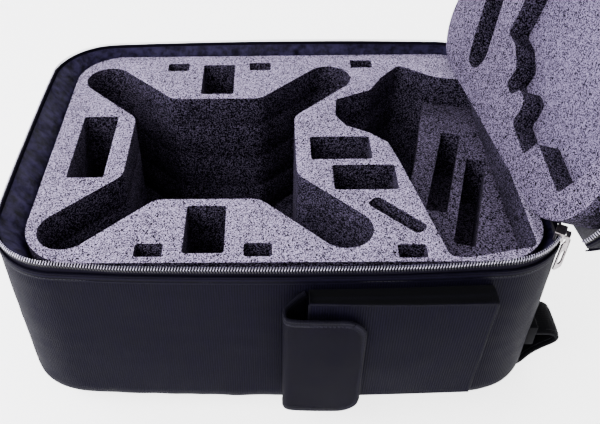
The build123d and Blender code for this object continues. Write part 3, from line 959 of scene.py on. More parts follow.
@dataclass
class SewnShell:
    """The base's cloth: side wall, back panel, rim fold, lining and hinge panel."""

    finishes: Finishes
    floor: float = 10.0
    rounding: float = 25.0
    panel_inset: float = 26.0
    wall_top: float = 187.0
    fold_middle: float = 189.8
    fold_width: float = 9.4
    fold_thickness: float = 2.3
    lining_top: float = 200.6
    lining_foot: float = 175.0
    zip_end: float = ZIP_END
    cut_slope: float = CUT_SLOPE
    cloth: float = 1.4

    def give(self, run: float, height: float) -> float:
        """How far the wall's cloth stands inside its flat outline, in millimetres.

        Args:
            run: place round the outline.
            height: above the floor.

        Returns:
            The inset, less than nought where it stands proud.
        """
        spot = OUTLINE.at(run)[0]
        middle = math.sin(math.pi * min(1.0, max(0.0, (height - 30.0) / 152.0)))
        broad = ripple(spot.x, spot.y, height, 95.0) * 1.5 * middle
        fine = ripple(spot.x, spot.y, height * 2.2, 30.0) * 0.35 * middle
        foot = max(0.0, 1.0 - abs(height - 22.0) / 26.0)
        tuck = ripple(spot.x * 1.5, spot.y * 1.5, 3.0, 40.0) * 1.3 * foot
        below_rim = max(0.0, 1.0 - abs(height - 176.0) / 9.0)
        fold = ripple(spot.x, spot.y, 9.0, 60.0) * 0.6 * below_rim
        return 0.5 * middle - broad - fine - tuck - fold - 0.5

    def wall_spot(self, run: float, height: float, lift: float = 0.0) -> Vector:
        """A place on the wall's outside.

        Args:
            run: place round the outline.
            height: above the floor.
            lift: millimetres outside the cloth.

        Returns:
            The place in millimetres.
        """
        return OUTLINE.at(run, self.give(run, height) - lift)[0] + Vector((0.0, 0.0, height))

    def build_wall(self) -> bpy.types.Object:
        """The side wall, lofted from the back panel's edge round the foot to the rim."""
        straight = self.wall_top - self.floor - self.rounding
        arc = math.pi / 2 * self.rounding
        total = 1.0 + arc + straight

        def place(u: float, v: float) -> Vector:
            """Where a point of the wall's cut goes."""
            run, rest = u * OUTLINE.length, v * total
            if rest < 1.0:
                inset, height = self.panel_inset - rest, self.floor
            elif rest < 1.0 + arc:
                turn = (rest - 1.0) / self.rounding
                inset = self.rounding * (1 - math.sin(turn))
                height = self.floor + self.rounding * (1 - math.cos(turn))
            else:
                inset, height = 0.0, self.floor + self.rounding + rest - 1.0 - arc
            fade = min(1.0, rest / 12.0)
            return OUTLINE.at(run, inset + self.give(run, height) * fade)[0] + Vector((0, 0, height))

        wall = wrapped("side_wall", 380, 64, place, (OUTLINE.length, total), loop=True)
        modify(wall, "SOLIDIFY", thickness=self.cloth * MM, offset=-1.0)
        smooth(wall, 60)
        paint(wall, self.finishes.cloth)
        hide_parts("side_wall")
        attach(wall, Body.BASE.value)
        area = total * OUTLINE.length * MM * MM * 0.98
        OUTLINE.length * MM
        return wall

    def build_back(self) -> bpy.types.Object:
        """The flat back panel under the case, eased between its seams."""
        panel = softened("back_panel", "back_panel", 0.5)
        modify(panel, "BEVEL", width=0.3 * MM, segments=1, limit_method="ANGLE", angle_limit=0.6)
        paint(panel, self.finishes.cloth)
        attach(panel, Body.BASE.value)
        return panel

    def build_rim(self) -> bpy.types.Object:
        """The folded top edge of the wall, sewn over the zip tape, with its stitches."""
        start, stop = OUTLINE.open_run(self.zip_end, self.cut_slope)
        steps = 420
        path = []
        for index in range(steps + 1):
            run = start + (stop - start) * index / steps
            wave = ripple(run, 0.0, 0.0, 55.0) * 0.5
            spot = ZipLine.rim_spot(run, self.fold_middle + wave, 0.1 - wave * 0.6)
            path.append(spot)
        section = flat_section(self.fold_width, self.fold_thickness, 3.4)
        rim = tube("rim_fold", 14, path, section, Vector((0, 0, 1)), 22.0)
        smooth(rim, 60)
        paint(rim, self.finishes.cloth)
        stitches = self.stitches("rim_stitches", start, stop, self.fold_middle - 2.0, -1.15)
        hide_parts("rim_piping")
        for piece in (rim, stitches):
            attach(piece, Body.BASE.value)
        return rim

    def stitches(self, name: str, start: float, stop: float, height: float, inset: float) -> bpy.types.Object:
        """A row of stitches round the rim.

        Args:
            name: the row's name.
            start: run where it starts.
            stop: run where it stops.
            height: above the floor.
            inset: inside the outline, less than nought for outside.

        Returns:
            The row.
        """
        places = []
        pitch = 3.4
        for index in range(int((stop - start) / pitch)):
            run = start + (index + 0.5) * pitch
            spot = ZipLine.rim_spot(run, height, inset)
            out = OUTLINE.at(run)[1]
            along = Vector((out.y, -out.x, 0.0))
            places.append(local_frame(spot, along, out))
        return repeated(name, stitch(self.finishes.thread), places)

    def build_lining(self) -> bpy.types.Object:
        """The puckered lining between the zip tape and the foam."""
        start, stop = OUTLINE.open_run(self.zip_end - 4.0, self.cut_slope)
        reach: dict[float, float] = {}

        def place(u: float, v: float) -> Vector:
            """Where a point of the lining's cut goes."""
            run = u * OUTLINE.length
            spot, out = OUTLINE.at(run, 3.7)
            if u not in reach:
                reach[u] = foam_reach(spot, out)
            gap = max(1.0, reach[u] - 2.2)
            past = max(0.0, start - run, run - stop)
            top = self.lining_top - min(16.5, past * 1.2)
            pucker = ripple(run, v * 5.0, 2.0, 7.5) * 1.2 + ripple(run + v * 9.0, 4.0, 8.0, 17.0) * 1.6
            swell = math.sin(math.pi * min(1.0, v * 1.02)) * (0.35 + min(1.0, gap / 16.0))
            inset = gap * (1 - v) ** 1.25 + pucker * swell * 1.2 + swell * 1.4
            height = self.lining_foot + (top - self.lining_foot) * v**0.72 + pucker * swell * 0.5
            return OUTLINE.at(run, 3.7 + max(0.0, inset))[0] + Vector((0, 0, height))

        lining = wrapped("wall_lining", 620, 14, place, (OUTLINE.length * 1.1, 34.0), loop=True)
        modify(lining, "SOLIDIFY", thickness=0.6 * MM, offset=0.0)
        smooth(lining, 70)
        paint(lining, self.finishes.satin)
        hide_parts("wall_lining")
        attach(lining, Body.BASE.value)
        OUTLINE.length * MM
        return lining

    def build_hinge(self) -> bpy.types.Object:
        """The slack cloth between wall and lid, pleated while the lid is open."""
        spot, axis = body_joint("lid_hinge")
        turn = Matrix.Rotation(LID_OPEN, 3, axis)
        up = (Vector((0, 0, 1)) - axis * axis.z).normalized()
        side = axis.cross(up)
        pleats, depth = 4, 7.0

        def place(u: float, v: float) -> Vector:
            """Where a point of the panel's cut goes."""
            y = (u - 0.5) * 226.0
            low = OUTLINE.at(y % OUTLINE.length, -0.8)[0] + Vector((0, 0, 184.5))
            high = spot + turn @ (Vector((229.0, y, FOAM_TOP + 46.5)) - spot)
            polar = []
            for point in (low, high):
                arm = point - spot
                along = arm.dot(axis)
                flat = arm - axis * along
                polar.append((along, flat.length, math.atan2(flat.dot(side), flat.dot(up))))
            along, radius, angle = (a + (b - a) * v for a, b in zip(*polar))
            uneven = 0.85 + 0.3 * ripple(y, v * 40.0, 0.0, 40.0)
            radius += depth * math.sin(math.pi * pleats * v) ** 2 * uneven
            return spot + axis * along + (side * math.sin(angle) + up * math.cos(angle)) * radius

        panel = wrapped("hinge_panel", 60, 48, place, (226.0, 66.0))
        modify(panel, "SOLIDIFY", thickness=0.8 * MM, offset=0.0)
        smooth(panel, 70)
        paint(panel, self.finishes.cloth)
        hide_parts("hinge_panel")
        base_edge, lid_edge = place(0.5, 0.0) * MM, place(0.5, 1.0) * MM
        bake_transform(panel)
        return panel

    def build(self) -> None:
        """Make every piece of the base's cloth."""
        self.build_wall()
        self.build_back()
        self.build_rim()
        self.build_lining()
        self.build_hinge()


def local_frame(spot: Vector, along: Vector, out: Vector) -> Matrix:
    """A frame for a small repeated shape, from millimetres to metres.

    Args:
        spot: where it goes.
        along: its own X.
        out: its own Y.

    Returns:
        The matrix.
    """
    matrix = Matrix((along, out, along.cross(out))).transposed().to_4x4()
    matrix.translation = spot * MM
    return matrix


def stitch(thread: bpy.types.Material, length: float = 2.5, radius: float = 0.32) -> bpy.types.Object:
    """One stitch along X, domed towards Y, modelled at the origin."""
    deselect()
    bpy.ops.mesh.primitive_cylinder_add(
        vertices=6, radius=radius * MM, depth=length * MM,
        rotation=(0.0, math.pi / 2, 0.0), end_fill_type="TRIFAN",
    )
    piece = bpy.context.active_object
    bpy.ops.object.transform_apply(location=True, rotation=True, scale=True)
    for vertex in piece.data.vertices:
        share = abs(vertex.co.x) / (length * MM / 2)
        if share > 0.9 and math.hypot(vertex.co.y, vertex.co.z) > 1e-6:
            vertex.co.y = vertex.co.y * 0.5 - radius * 0.6 * MM
            vertex.co.z *= 0.6
    paint(piece, thread)
    return piece


# ------------------------------------------------------------------ the zip
@dataclass
class ZipLine:
    """Both halves of the zip with their coils, the two sliders and their pull tabs."""

    finishes: Finishes
    tape_foot: float = RIM_FOOT
    tape_top: float = 203.8
    coil_middle: float = 203.0
    pitch: float = 2.42
    zip_end: float = ZIP_END
    cut_slope: float = CUT_SLOPE
    lid_end: float = 214.0

    @staticmethod
    def rim_spot(run: float, height: float, inset: float) -> Vector:
        """A place on the base's rim, where the near side leans out and hangs a little.

        Args:
            run: place round the outline.
            height: above the floor.
            inset: inside the outline.

        Returns:
            The place in millimetres.
        """
        out = OUTLINE.at(run)[1]
        along = abs(OUTLINE.at(run)[0].x)
        fade = min(1.0, max(0.0, (185.0 - along) / 50.0))
        lean = max(0.0, -out.y) ** 2 * min(1.0, max(0.0, (height - RIM_FOOT) / RIM_HEIGHT)) * fade
        wave = ripple(run, 7.0, 0.0, 70.0) * 0.4 * min(1.0, max(0.0, (height - 186.0) / 16.0))
        return OUTLINE.at(run, inset - 1.1 * lean + wave)[0] + Vector((0, 0, height - 2.2 * lean))

    def coil(self) -> bpy.types.Object:
        """One turn of the zip's coil, an angled loop that is bright above and shaded below."""
        turn = ((-1.0, -0.9, 2.9), (-0.75, 0.3, 2.3), (0.1, 0.75, 0.3), (-0.3, 0.55, -1.4), (-0.8, 0.1, -2.9))
        path = [Vector(point) for point in turn]
        piece = tube("coil", 6, path, flat_section(0.85, 1.2, 2.2), Vector((1, 0, 0)), 4.0)
        paint(piece, self.finishes.teeth, self.finishes.shade)
        for face in piece.data.polygons:
            face.material_index = 0 if face.center.z > 0.1 * MM else 1
        return piece

    def build_half(self, lid: bool) -> None:
        """One half of the zip: its tape and its row of coil.

        Args:
            lid: the lid's half, modelled closed and swung open.
        """
        start, stop = OUTLINE.open_run(self.lid_end if lid else self.zip_end, 0.0 if lid else self.cut_slope)
        mirror = FOAM_TOP + 18.2 + self.coil_middle + 3.0

        def edge(run: float, height: float, inset: float) -> Vector:
            """A place on this half's edge; the lid's half is the base's turned over."""
            if not lid:
                return self.rim_spot(run, height, inset)
            return OUTLINE.at(run, inset)[0] + Vector((0, 0, mirror - height))

        def place(u: float, v: float) -> Vector:
            """Where a point of the tape goes."""
            run = start + (stop - start) * u
            return edge(run, self.tape_foot + (self.tape_top - self.tape_foot) * v, 2.1)

        name = "lid_zip_tape" if lid else "base_zip_tape"
        length = stop - start
        tape = wrapped(name, 420, 8, place, (length, 19.8))
        modify(tape, "SOLIDIFY", thickness=1.0 * MM, offset=0.0)
        smooth(tape, 60)
        paint(tape, self.finishes.tape)
        places = []
        for index in range(int(length / self.pitch)):
            run = start + (index + 0.5) * self.pitch
            out = OUTLINE.at(run)[1]
            along = Vector((out.y, -out.x, 0.0)) * (-1 if lid else 1)
            places.append(local_frame(edge(run, self.coil_middle, 1.0), along, out))
        coils = repeated(name.replace("tape", "teeth"), self.coil(), places)
        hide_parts(name)
        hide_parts(name.replace("tape", "teeth"))
        length * MM
        for piece in (tape, coils):
            if lid:
                lid_open(piece)
            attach(piece, (Body.LID if lid else Body.BASE).value)

    def hang(
        self, tab: bpy.types.Object, twist: float = -30.0, lean: float = 0.1, tilt: float = 0.05
    ) -> None:
        """Let a pull tab hang turned on its ring, leaning a little along and away from the wall.

        Args:
            tab: the tab.
            twist: degrees about the upright through its eye.
            lean: how far it leans along the zip for each millimetre down.
            tilt: how far it stands off the wall for each millimetre down.
        """
        pin, axis = body_joint("near_pull_swing")
        out = Vector((-axis.y, axis.x, 0.0)).normalized()
        if out.x < 0:
            out = -out
        for vertex in tab.data.vertices:
            arm = vertex.co / MM - pin
            drop = max(0.0, -arm.z)
            share = min(1.0, max(0.0, (drop - 2.0) / 6.0))
            arm = Matrix.Rotation(math.radians(twist * share), 3, "Z") @ arm
            aside = Vector((-1.0, -0.35, 0.0)).normalized()
            arm += out * (tilt * drop) + aside * (lean * max(0.0, drop - 2.0))
            vertex.co = (pin + arm) * MM

    def build_sliders(self) -> None:
        """The two sliders and their pull tabs, from the frame with eased edges."""
        for node in ("near_slider", "far_slider", "near_pull_tab", "far_pull_tab"):
            piece = softened(node, node, 0.28, 2, 25.0)
            if node == "near_pull_tab":
                self.hang(piece)
            paint(piece, self.finishes.nickel)
            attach(piece, node.replace("_tab", ""))

    def build(self) -> None:
        """Make the zip."""
        self.build_half(lid=False)
        self.build_half(lid=True)
        self.build_sliders()


# ------------------------------------------------------------------ the foam
@dataclass
class FoamBlock:
    """The laminated foam in the base and the controller's tray."""

    finishes: Finishes
    edge: float = 0.9

    def build(self) -> None:
        """Make each layer with a light skin above and dark cut walls."""
        skins = {"foam_top_layer": self.finishes.skin, "controller_tray": self.finishes.deep}
        layers = ("foam_bottom_layer", "foam_lower_layer", "foam_upper_layer", "foam_top_layer")
        for node in (*layers, "floor_pad", "controller_tray"):
            top = node == "foam_top_layer"
            piece = softened(node, node, self.edge if top else 0.6, 2)
            paint(piece, self.finishes.cut, skins.get(node, self.finishes.cut))
            for face in piece.data.polygons:
                face.material_index = 1 if face.normal.z > 0.55 else 0
            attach(piece, Body.BASE.value)


# ------------------------------------------------------------------ the side pocket
@dataclass
class SidePocket:
    """The bellows pocket on the near wall and the flap that folds over its mouth."""

    finishes: Finishes
    shell: SewnShell
    left: float = 26.0
    right: float = 178.5
    foot: float = 50.0
    top: float = 178.5
    face: float = 202.4
    taper: float = 4.5
    clear_of_tab: float = 180.0
    flap_front: float = 209.7
    flap_end: float = 73.5
    flap_foot: float = 40.0
    flap_top: float = 167.0
    corner: float = 20.0
    cloth: float = 1.6

    def right_edge(self, height: float) -> float:
        """The pocket's right edge, which draws in towards its foot."""
        return self.right - self.taper * (self.top - height) / (self.top - self.foot)

    def build_front(self) -> None:
        """The front panel, slack across its middle, with the hem along its edges."""

        def place(u: float, v: float) -> Vector:
            """Where a point of the front panel goes."""
            height = self.foot + (self.top - self.foot) * v
            x = self.left + (self.right_edge(height) - self.left) * u
            height += 7.0 * u * (1 - v) ** 2
            swell = math.sin(math.pi * u) * math.sin(math.pi * min(1.0, v * 0.97 + 0.03))
            crease = ripple(x, 0.0, height, 34.0) * 0.8 * swell
            height -= 1.6 * math.sin(math.pi * u) * v**6
            return Vector((x, -(self.face + 2.6 * swell + crease), height))

        front = wrapped("pocket_front", 56, 56, place, (152.0, 129.0))
        modify(front, "SOLIDIFY", thickness=self.cloth * MM, offset=0.0)
        smooth(front, 60)
        paint(front, self.finishes.cloth)
        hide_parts("pocket_front")
        route = [place(0.0, step / 40) for step in range(40)]
        route += [place(step / 60, 1.0) for step in range(60)]
        route += [place(1.0, 1.0 - step / 40) for step in range(41)]
        path = tidy_path(route, 180, 1)
        hem = tube("pocket_hem", 10, path, flat_section(1.9, 2.3, 2.5), Vector((0, 1, 0)), 8.0)
        smooth(hem, 60)
        paint(hem, self.finishes.binding)
        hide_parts("pocket_hem")
        for piece in (front, hem):
            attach(piece, Body.BASE.value)

    def build_gusset(self) -> None:
        """The folded side of the pocket: foot, right side and top."""
        corners = [
            (self.left, self.foot), (self.right_edge(self.foot), self.foot + 7.0),
            (self.right, self.top), (self.left, self.top),
        ]
        sides = [math.dist(a, b) for a, b in zip(corners, corners[1:])]
        total = sum(sides)

        def place(u: float, v: float) -> Vector:
            """Where a point of the gusset goes."""
            rest = u * total
            index = 0
            while index < 2 and rest > sides[index]:
                rest -= sides[index]
                index += 1
            a, b = corners[index], corners[index + 1]
            share = rest / sides[index]
            x, z = a[0] + (b[0] - a[0]) * share, a[1] + (b[1] - a[1]) * share
            run = Vector((b[0] - a[0], 0.0, b[1] - a[1])).normalized()
            inner = Vector((-run.z, 0.0, run.x))
            ease = min(1.0, u * total / 10.0, (1 - u) * total / 4.0 + 0.4)
            near = min(abs(u * total - sides[0]), abs(u * total - sides[0] - sides[1]))
            ease *= min(1.0, 0.25 + near / 14.0)
            wall = self.shell.wall_spot(OUTLINE.near_run(x), min(z, 182.0), 0.2)
            depth = (5.5 * math.sin(math.pi * v) + 1.4 * math.sin(3 * math.pi * v)) * ease
            if index == 2:
                x += max(0.0, (x - 150.0) / 28.0) * 6.0 * v * (1 - v) * 4.0
            x = min(x, self.clear_of_tab)
            y = -self.face + (self.face + wall.y) * v
            return Vector((x, y, z)) + inner * max(0.0, depth)

        gusset = wrapped("pocket_gusset", 150, 18, place, (total, 30.0))
        modify(gusset, "SOLIDIFY", thickness=1.0 * MM, offset=0.0)
        smooth(gusset, 50)
        paint(gusset, self.finishes.webbing)
        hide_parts("pocket_gusset")
        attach(gusset, Body.BASE.value)

    def flap_path(self) -> list[Vector]:
        """The flap's middle line from the wall, round its fold, to its free end."""
        root = self.shell.wall_spot(OUTLINE.near_run(22.5), 110.0, 1.4)
        route = [
            root, Vector((17.0, root.y - 2.4, 0)), Vector((9.0, -195.0, 0)), Vector((5.2, -199.5, 0)),
            Vector((5.8, -207.5, 0)), Vector((13.0, -self.flap_front, 0)),
            Vector((42.0, -self.flap_front - 0.3, 0)),
            Vector((self.flap_end, -self.flap_front + 0.6, 0)),
        ]
        return tidy_path([Vector((p.x, p.y, 0.0)) for p in route], 72, 3)

    def flap_height(self, u: float, v: float, path: Sequence[Vector]) -> float:
        """The height of a point of the flap, whose free corners are round.

        Args:
            u: place along the flap.
            v: place across it.
            path: its middle line.

        Returns:
            The height in millimetres.
        """
        middle, half = (self.flap_top + self.flap_foot) / 2, (self.flap_top - self.flap_foot) / 2
        spot = path[min(len(path) - 1, round(u * (len(path) - 1)))]
        past = max(0.0, spot.x - (self.flap_end - self.corner)) if spot.y < -206 else 0.0
        drop = self.corner - math.sqrt(max(0.0, self.corner**2 - min(past, self.corner) ** 2))
        rise = max(0.0, 1.0 - u / 0.32) ** 1.3 * 10.0 * v
        droop = 2.5 * u
        return middle - droop + rise + (half - drop * 0.9) * (2 * v - 1)

    def build_flap(self) -> None:
        """The flap in one cloth from its root on the wall, with its binding and patches."""
        path = self.flap_path()
        steps = len(path) - 1

        def place(u: float, v: float) -> Vector:
            """Where a point of the flap goes."""
            spot = path[min(steps, round(u * steps))]
            root, end = max(0.0, min(1.0, (u - 0.42) * 4)), max(0.0, min(1.0, (1.02 - u) * 5))
            swell = math.sin(math.pi * v) * root * end
            wave = ripple(u * 60.0, 0.0, v * 120.0, 26.0) * 0.5 * swell
            return Vector((spot.x, spot.y - 1.8 * swell - wave, self.flap_height(u, v, path)))

        length = sum((b - a).length for a, b in zip(path, path[1:]))
        flap = wrapped("pocket_flap", steps, 64, place, (length, 127.0))
        modify(flap, "SOLIDIFY", thickness=2.4 * MM, offset=0.0)
        modify(flap, "BEVEL", width=0.7 * MM, segments=2, limit_method="ANGLE", angle_limit=math.radians(50))
        smooth(flap, 50)
        paint(flap, self.finishes.flap)
        around = [place(index / steps, 1.0) for index in range(0, steps + 1)]
        around += [place(1.0, 1.0 - index / 24) for index in range(1, 25)]
        around += [place(index / steps, 0.0) for index in range(steps - 1, -1, -1)]
        route = tidy_path(around, 260, 1)
        binding = self.edge_binding(route)
        for piece, nodes in ((flap, ("flap_panel", "flap_return")), (binding, ("flap_binding",))):
            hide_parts(*nodes)
        for piece in (flap, binding):
            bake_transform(piece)
        hooks = softened("pocket_hook_patch", "pocket_hook_patch", 0.25)
        loops = softened("flap_loop_patch", "flap_loop_patch", 0.25)
        for patch, body in ((hooks, Body.BASE), (loops, Body.FLAP)):
            paint(patch, self.finishes.hooks)
            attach(patch, body.value)

    def edge_binding(self, route: Sequence[Vector]) -> bpy.types.Object:
        """The ribbed tape folded over the flap's edge.

        Args:
            route: the edge, in millimetres.

        Returns:
            The binding.
        """
        steps = len(route) - 1
        frames = []
        for index, spot in enumerate(route):
            run = (route[min(index + 1, steps)] - route[max(index - 1, 0)]).normalized()
            frames.append((spot, run))
        middle = Vector((45.0, 0.0, (self.flap_top + self.flap_foot) / 2))

        def place(turn: float, along: float) -> Vector:
            """Where a point of the binding goes."""
            spot, run = frames[min(steps, round(along * steps))]
            flat = Vector((run.y, -run.x, 0.0)) if abs(run.z) < 0.5 else Vector((0.0, 1.0, 0.0))
            flat = (flat - run * flat.dot(run)).normalized()
            if abs(run.z) >= 0.5:
                flat = -flat * math.copysign(1.0, run.z)
            inner = flat.cross(run)
            inwards = inner.z * (middle.z - spot.z)
            if abs(run.z) > 0.5:
                inwards += inner.x * (middle.x - spot.x)
            if inwards < 0:
                inner = -inner
            c, s = math.cos(2 * math.pi * turn), math.sin(2 * math.pi * turn)
            rib = 0.16 * math.sin(along * steps * 2.0 * math.pi / 3.0)
            first = math.copysign(abs(c) ** 0.5, c) * 4.2 + 3.2
            second = math.copysign(abs(s) ** 0.6, s) * (1.5 + rib)
            return spot + inner * first + flat * second

        length = sum((b - a).length for a, b in zip(route, route[1:]))
        piece = wrapped("flap_binding", 14, steps, place, (22.0, length), loop=True)
        close_holes(piece)
        outward(piece)
        smooth(piece, 60)
        paint(piece, self.finishes.binding)
        return piece

    def build(self) -> None:
        """Make the pocket."""
        self.build_front()
        self.build_gusset()
        self.build_flap()


# ------------------------------------------------------------------ pads, straps and handle
@dataclass
class CarryGear:
    """The back pads, shoulder straps, yoke and grab handle."""

    finishes: Finishes
    cap: float = 1.4
    pad_top: float = 9.9
    strap_centre: float = 119.0
    strap_half: float = 21.0
    stitch_line: float = 17.0
    strap_route: Route = (
        (-190.0, 3.5), (-60.0, 3.5), (120.0, 3.5), (212.0, 3.5), (231.0, 6.0), (245.0, 14.0), (252.5, 30.0),
        (263.0, 41.0), (273.0, 48.0), (276.0, 55.0), (269.0, 61.0), (260.0, 61.5), (250.5, 61.5),
    )
    handle_x: float = -254.6
    handle_route: Route = (
        (-52.0, 119.0), (-52.0, 104.0), (-51.0, 88.0), (-38.0, 80.0), (0.0, 79.0),
        (38.0, 80.0), (51.0, 88.0), (52.0, 104.0), (52.0, 119.0),
    )
    anchor_centre: tuple[float, float, float] = (-252.1, 52.0, 118.0)
    anchor_seam: tuple[float, float] = (13.0, 11.0)

    def build_pads(self) -> None:
        """The back's cushions, crowned by a capped cloth simulation and quilted across."""
        for node in ("near_back_pad", "spine_pad", "far_back_pad"):
            low, high = (Vector(c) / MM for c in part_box(node))
            piece = softened(node, node, 0.0)
            shift = Matrix.Translation((low + high) / 2 * MM)
            back = Matrix.Translation((low + high) / -2 * MM)
            piece.data.transform(shift @ Matrix.Diagonal((0.985, 0.96, 0.82, 1.0)) @ back)
            modify(piece, "REMESH", mode="VOXEL", voxel_size=5.0 * MM, use_smooth_shade=True)
            self.swell(piece)
            for vertex in piece.data.vertices:
                x = vertex.co.x / MM
                seam = math.exp(-(((x + 500.0) % 63.0 - 31.5) / 3.0) ** 2)
                middle = 5.0 * MM
                vertex.co.z = middle + (vertex.co.z - middle) * (1 - 0.3 * seam)
                vertex.co.z = min(max(vertex.co.z, 0.0), self.pad_top * MM)
            modify(piece, "SUBSURF", levels=1, render_levels=1)
            for vertex in piece.data.vertices:
                vertex.co.z = min(max(vertex.co.z, 0.0), 9.95 * MM)
            smooth(piece, 80)
            paint(piece, self.finishes.mesh)
            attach(piece, Body.BASE.value)

    def swell(self, piece: bpy.types.Object) -> None:
        """Blow a pad up as cloth under pressure, no point moving past the cap.

        Args:
            piece: the remeshed pad.
        """
        before = [vertex.co.copy() for vertex in piece.data.vertices]
        activate(piece)
        cloth = piece.modifiers.new("Cloth", "CLOTH")
        cloth.settings.use_pressure = True
        cloth.settings.uniform_pressure_force = 4.0
        cloth.settings.effector_weights.gravity = 0.0
        cloth.point_cache.frame_start, cloth.point_cache.frame_end = 1, 20
        for step in range(1, 21):
            bpy.context.scene.frame_set(step)
        bpy.ops.object.modifier_apply(modifier=cloth.name)
        bpy.context.scene.frame_set(1)
        for vertex, start in zip(piece.data.vertices, before):
            move = vertex.co - start
            if move.length > self.cap * MM:
                vertex.co = start + move.normalized() * self.cap * MM

    def build_straps(self) -> None:
        """The padded shoulder straps, under the case and up in a loop behind its foot."""

        def across(turn: float, along: float) -> tuple[float, float]:
            """The strap's section, thinner at its bound edges."""
            c, s = math.cos(2 * math.pi * turn), math.sin(2 * math.pi * turn)
            first = math.copysign(abs(c) ** 0.42, c) * self.strap_half
            edge = max(0.0, 1.0 - abs(abs(first) - self.stitch_line) / 1.6)
            crown = 3.3 - 0.5 * (first / self.strap_half) ** 2
            return first, math.copysign(abs(s) ** 0.5, s) * (crown - 0.6 * edge)

        for side, node in ((-1, "near_shoulder_strap"), (1, "far_shoulder_strap")):
            path = tidy_path([Vector((x, side * self.strap_centre, z)) for x, z in self.strap_route], 190, 4)
            strap = tube(node, 40, path, across, Vector((0, 1, 0)), 110.0)
            smooth(strap, 60)
            paint(strap, self.finishes.webbing)
            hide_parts(node)
            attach(strap, Body.BASE.value)
            stitches = []
            for edge in (-1, 1):
                for index in range(4, 186):
                    spot, ahead = path[index], path[index + 1]
                    run = (ahead - spot).normalized()
                    for face in (-1, 1):
                        out = Vector((-run.z, 0.0, run.x)) * face
                        seam = Vector((0, edge * self.stitch_line, 0))
                        stitches.append(local_frame(spot + seam + out * 2.7, run, out))
            row = repeated(node + "_stitches", stitch(self.finishes.thread, 2.2, 0.3), stitches)
            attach(row, Body.BASE.value)
            patch = node.replace("shoulder_strap", "strap_anchor")
            anchor = softened(patch, patch, 2.2, 3)
            paint(anchor, self.finishes.webbing)
            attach(anchor, Body.BASE.value)

    def build_handle(self) -> None:
        """The webbing handle, its anchors and the yoke over the straps."""
        path = tidy_path([Vector((self.handle_x, y, z)) for y, z in self.handle_route], 120, 4)

        def across(turn: float, along: float) -> tuple[float, float]:
            """The handle's section, rolled thicker at the grip."""
            c, s = math.cos(2 * math.pi * turn), math.sin(2 * math.pi * turn)
            grip = math.exp(-(((along - 0.5) / 0.2) ** 2))
            return (
                math.copysign(abs(c) ** 0.6, c) * (1.5 + 0.9 * grip),
                math.copysign(abs(s) ** 0.6, s) * (10.0 - 1.0 * grip),
            )

        handle = tube("grab_handle", 24, path, across, Vector((1, 0, 0)), 44.0)
        smooth(handle, 60)
        paint(handle, self.finishes.webbing)
        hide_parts("grab_handle")
        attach(handle, Body.HANDLE.value)
        anchors = softened("handle_anchors", "handle_anchors", 0.7, 2)
        paint(anchors, self.finishes.webbing)
        yoke = softened("strap_yoke", "strap_yoke", 0.7, 2)
        paint(yoke, self.finishes.cloth)
        boxes = []
        x, y, z = self.anchor_centre
        seam_y, seam_z = self.anchor_seam
        for side in (-1, 1):
            for index in range(9):
                step = index * 2.75 - seam_z
                up, across_run = Vector((0, 0, 1)), Vector((0, 1, 0))
                for shift_y, shift_z, run in (
                    (-seam_y, step, up), (seam_y, step, up),
                    (step * 1.18, -seam_z, across_run), (step * 1.18, seam_z, across_run),
                ):
                    spot = Vector((x, side * y + shift_y, z + shift_z))
                    boxes.append(local_frame(spot, run, Vector((-1, 0, 0))))
        stitches = repeated("handle_anchor_stitches", stitch(self.finishes.thread, 2.1, 0.35), boxes)
        slots = ((handle, "webbing"), (anchors, "webbing"), (yoke, "case_fabric"), (stitches, "webbing"))
        for piece, slot in slots:
            if piece is not handle:
                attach(piece, Body.BASE.value)

    def build(self) -> None:
        """Make the pads, straps and handle."""
        self.build_pads()
        self.build_straps()
        self.build_handle()


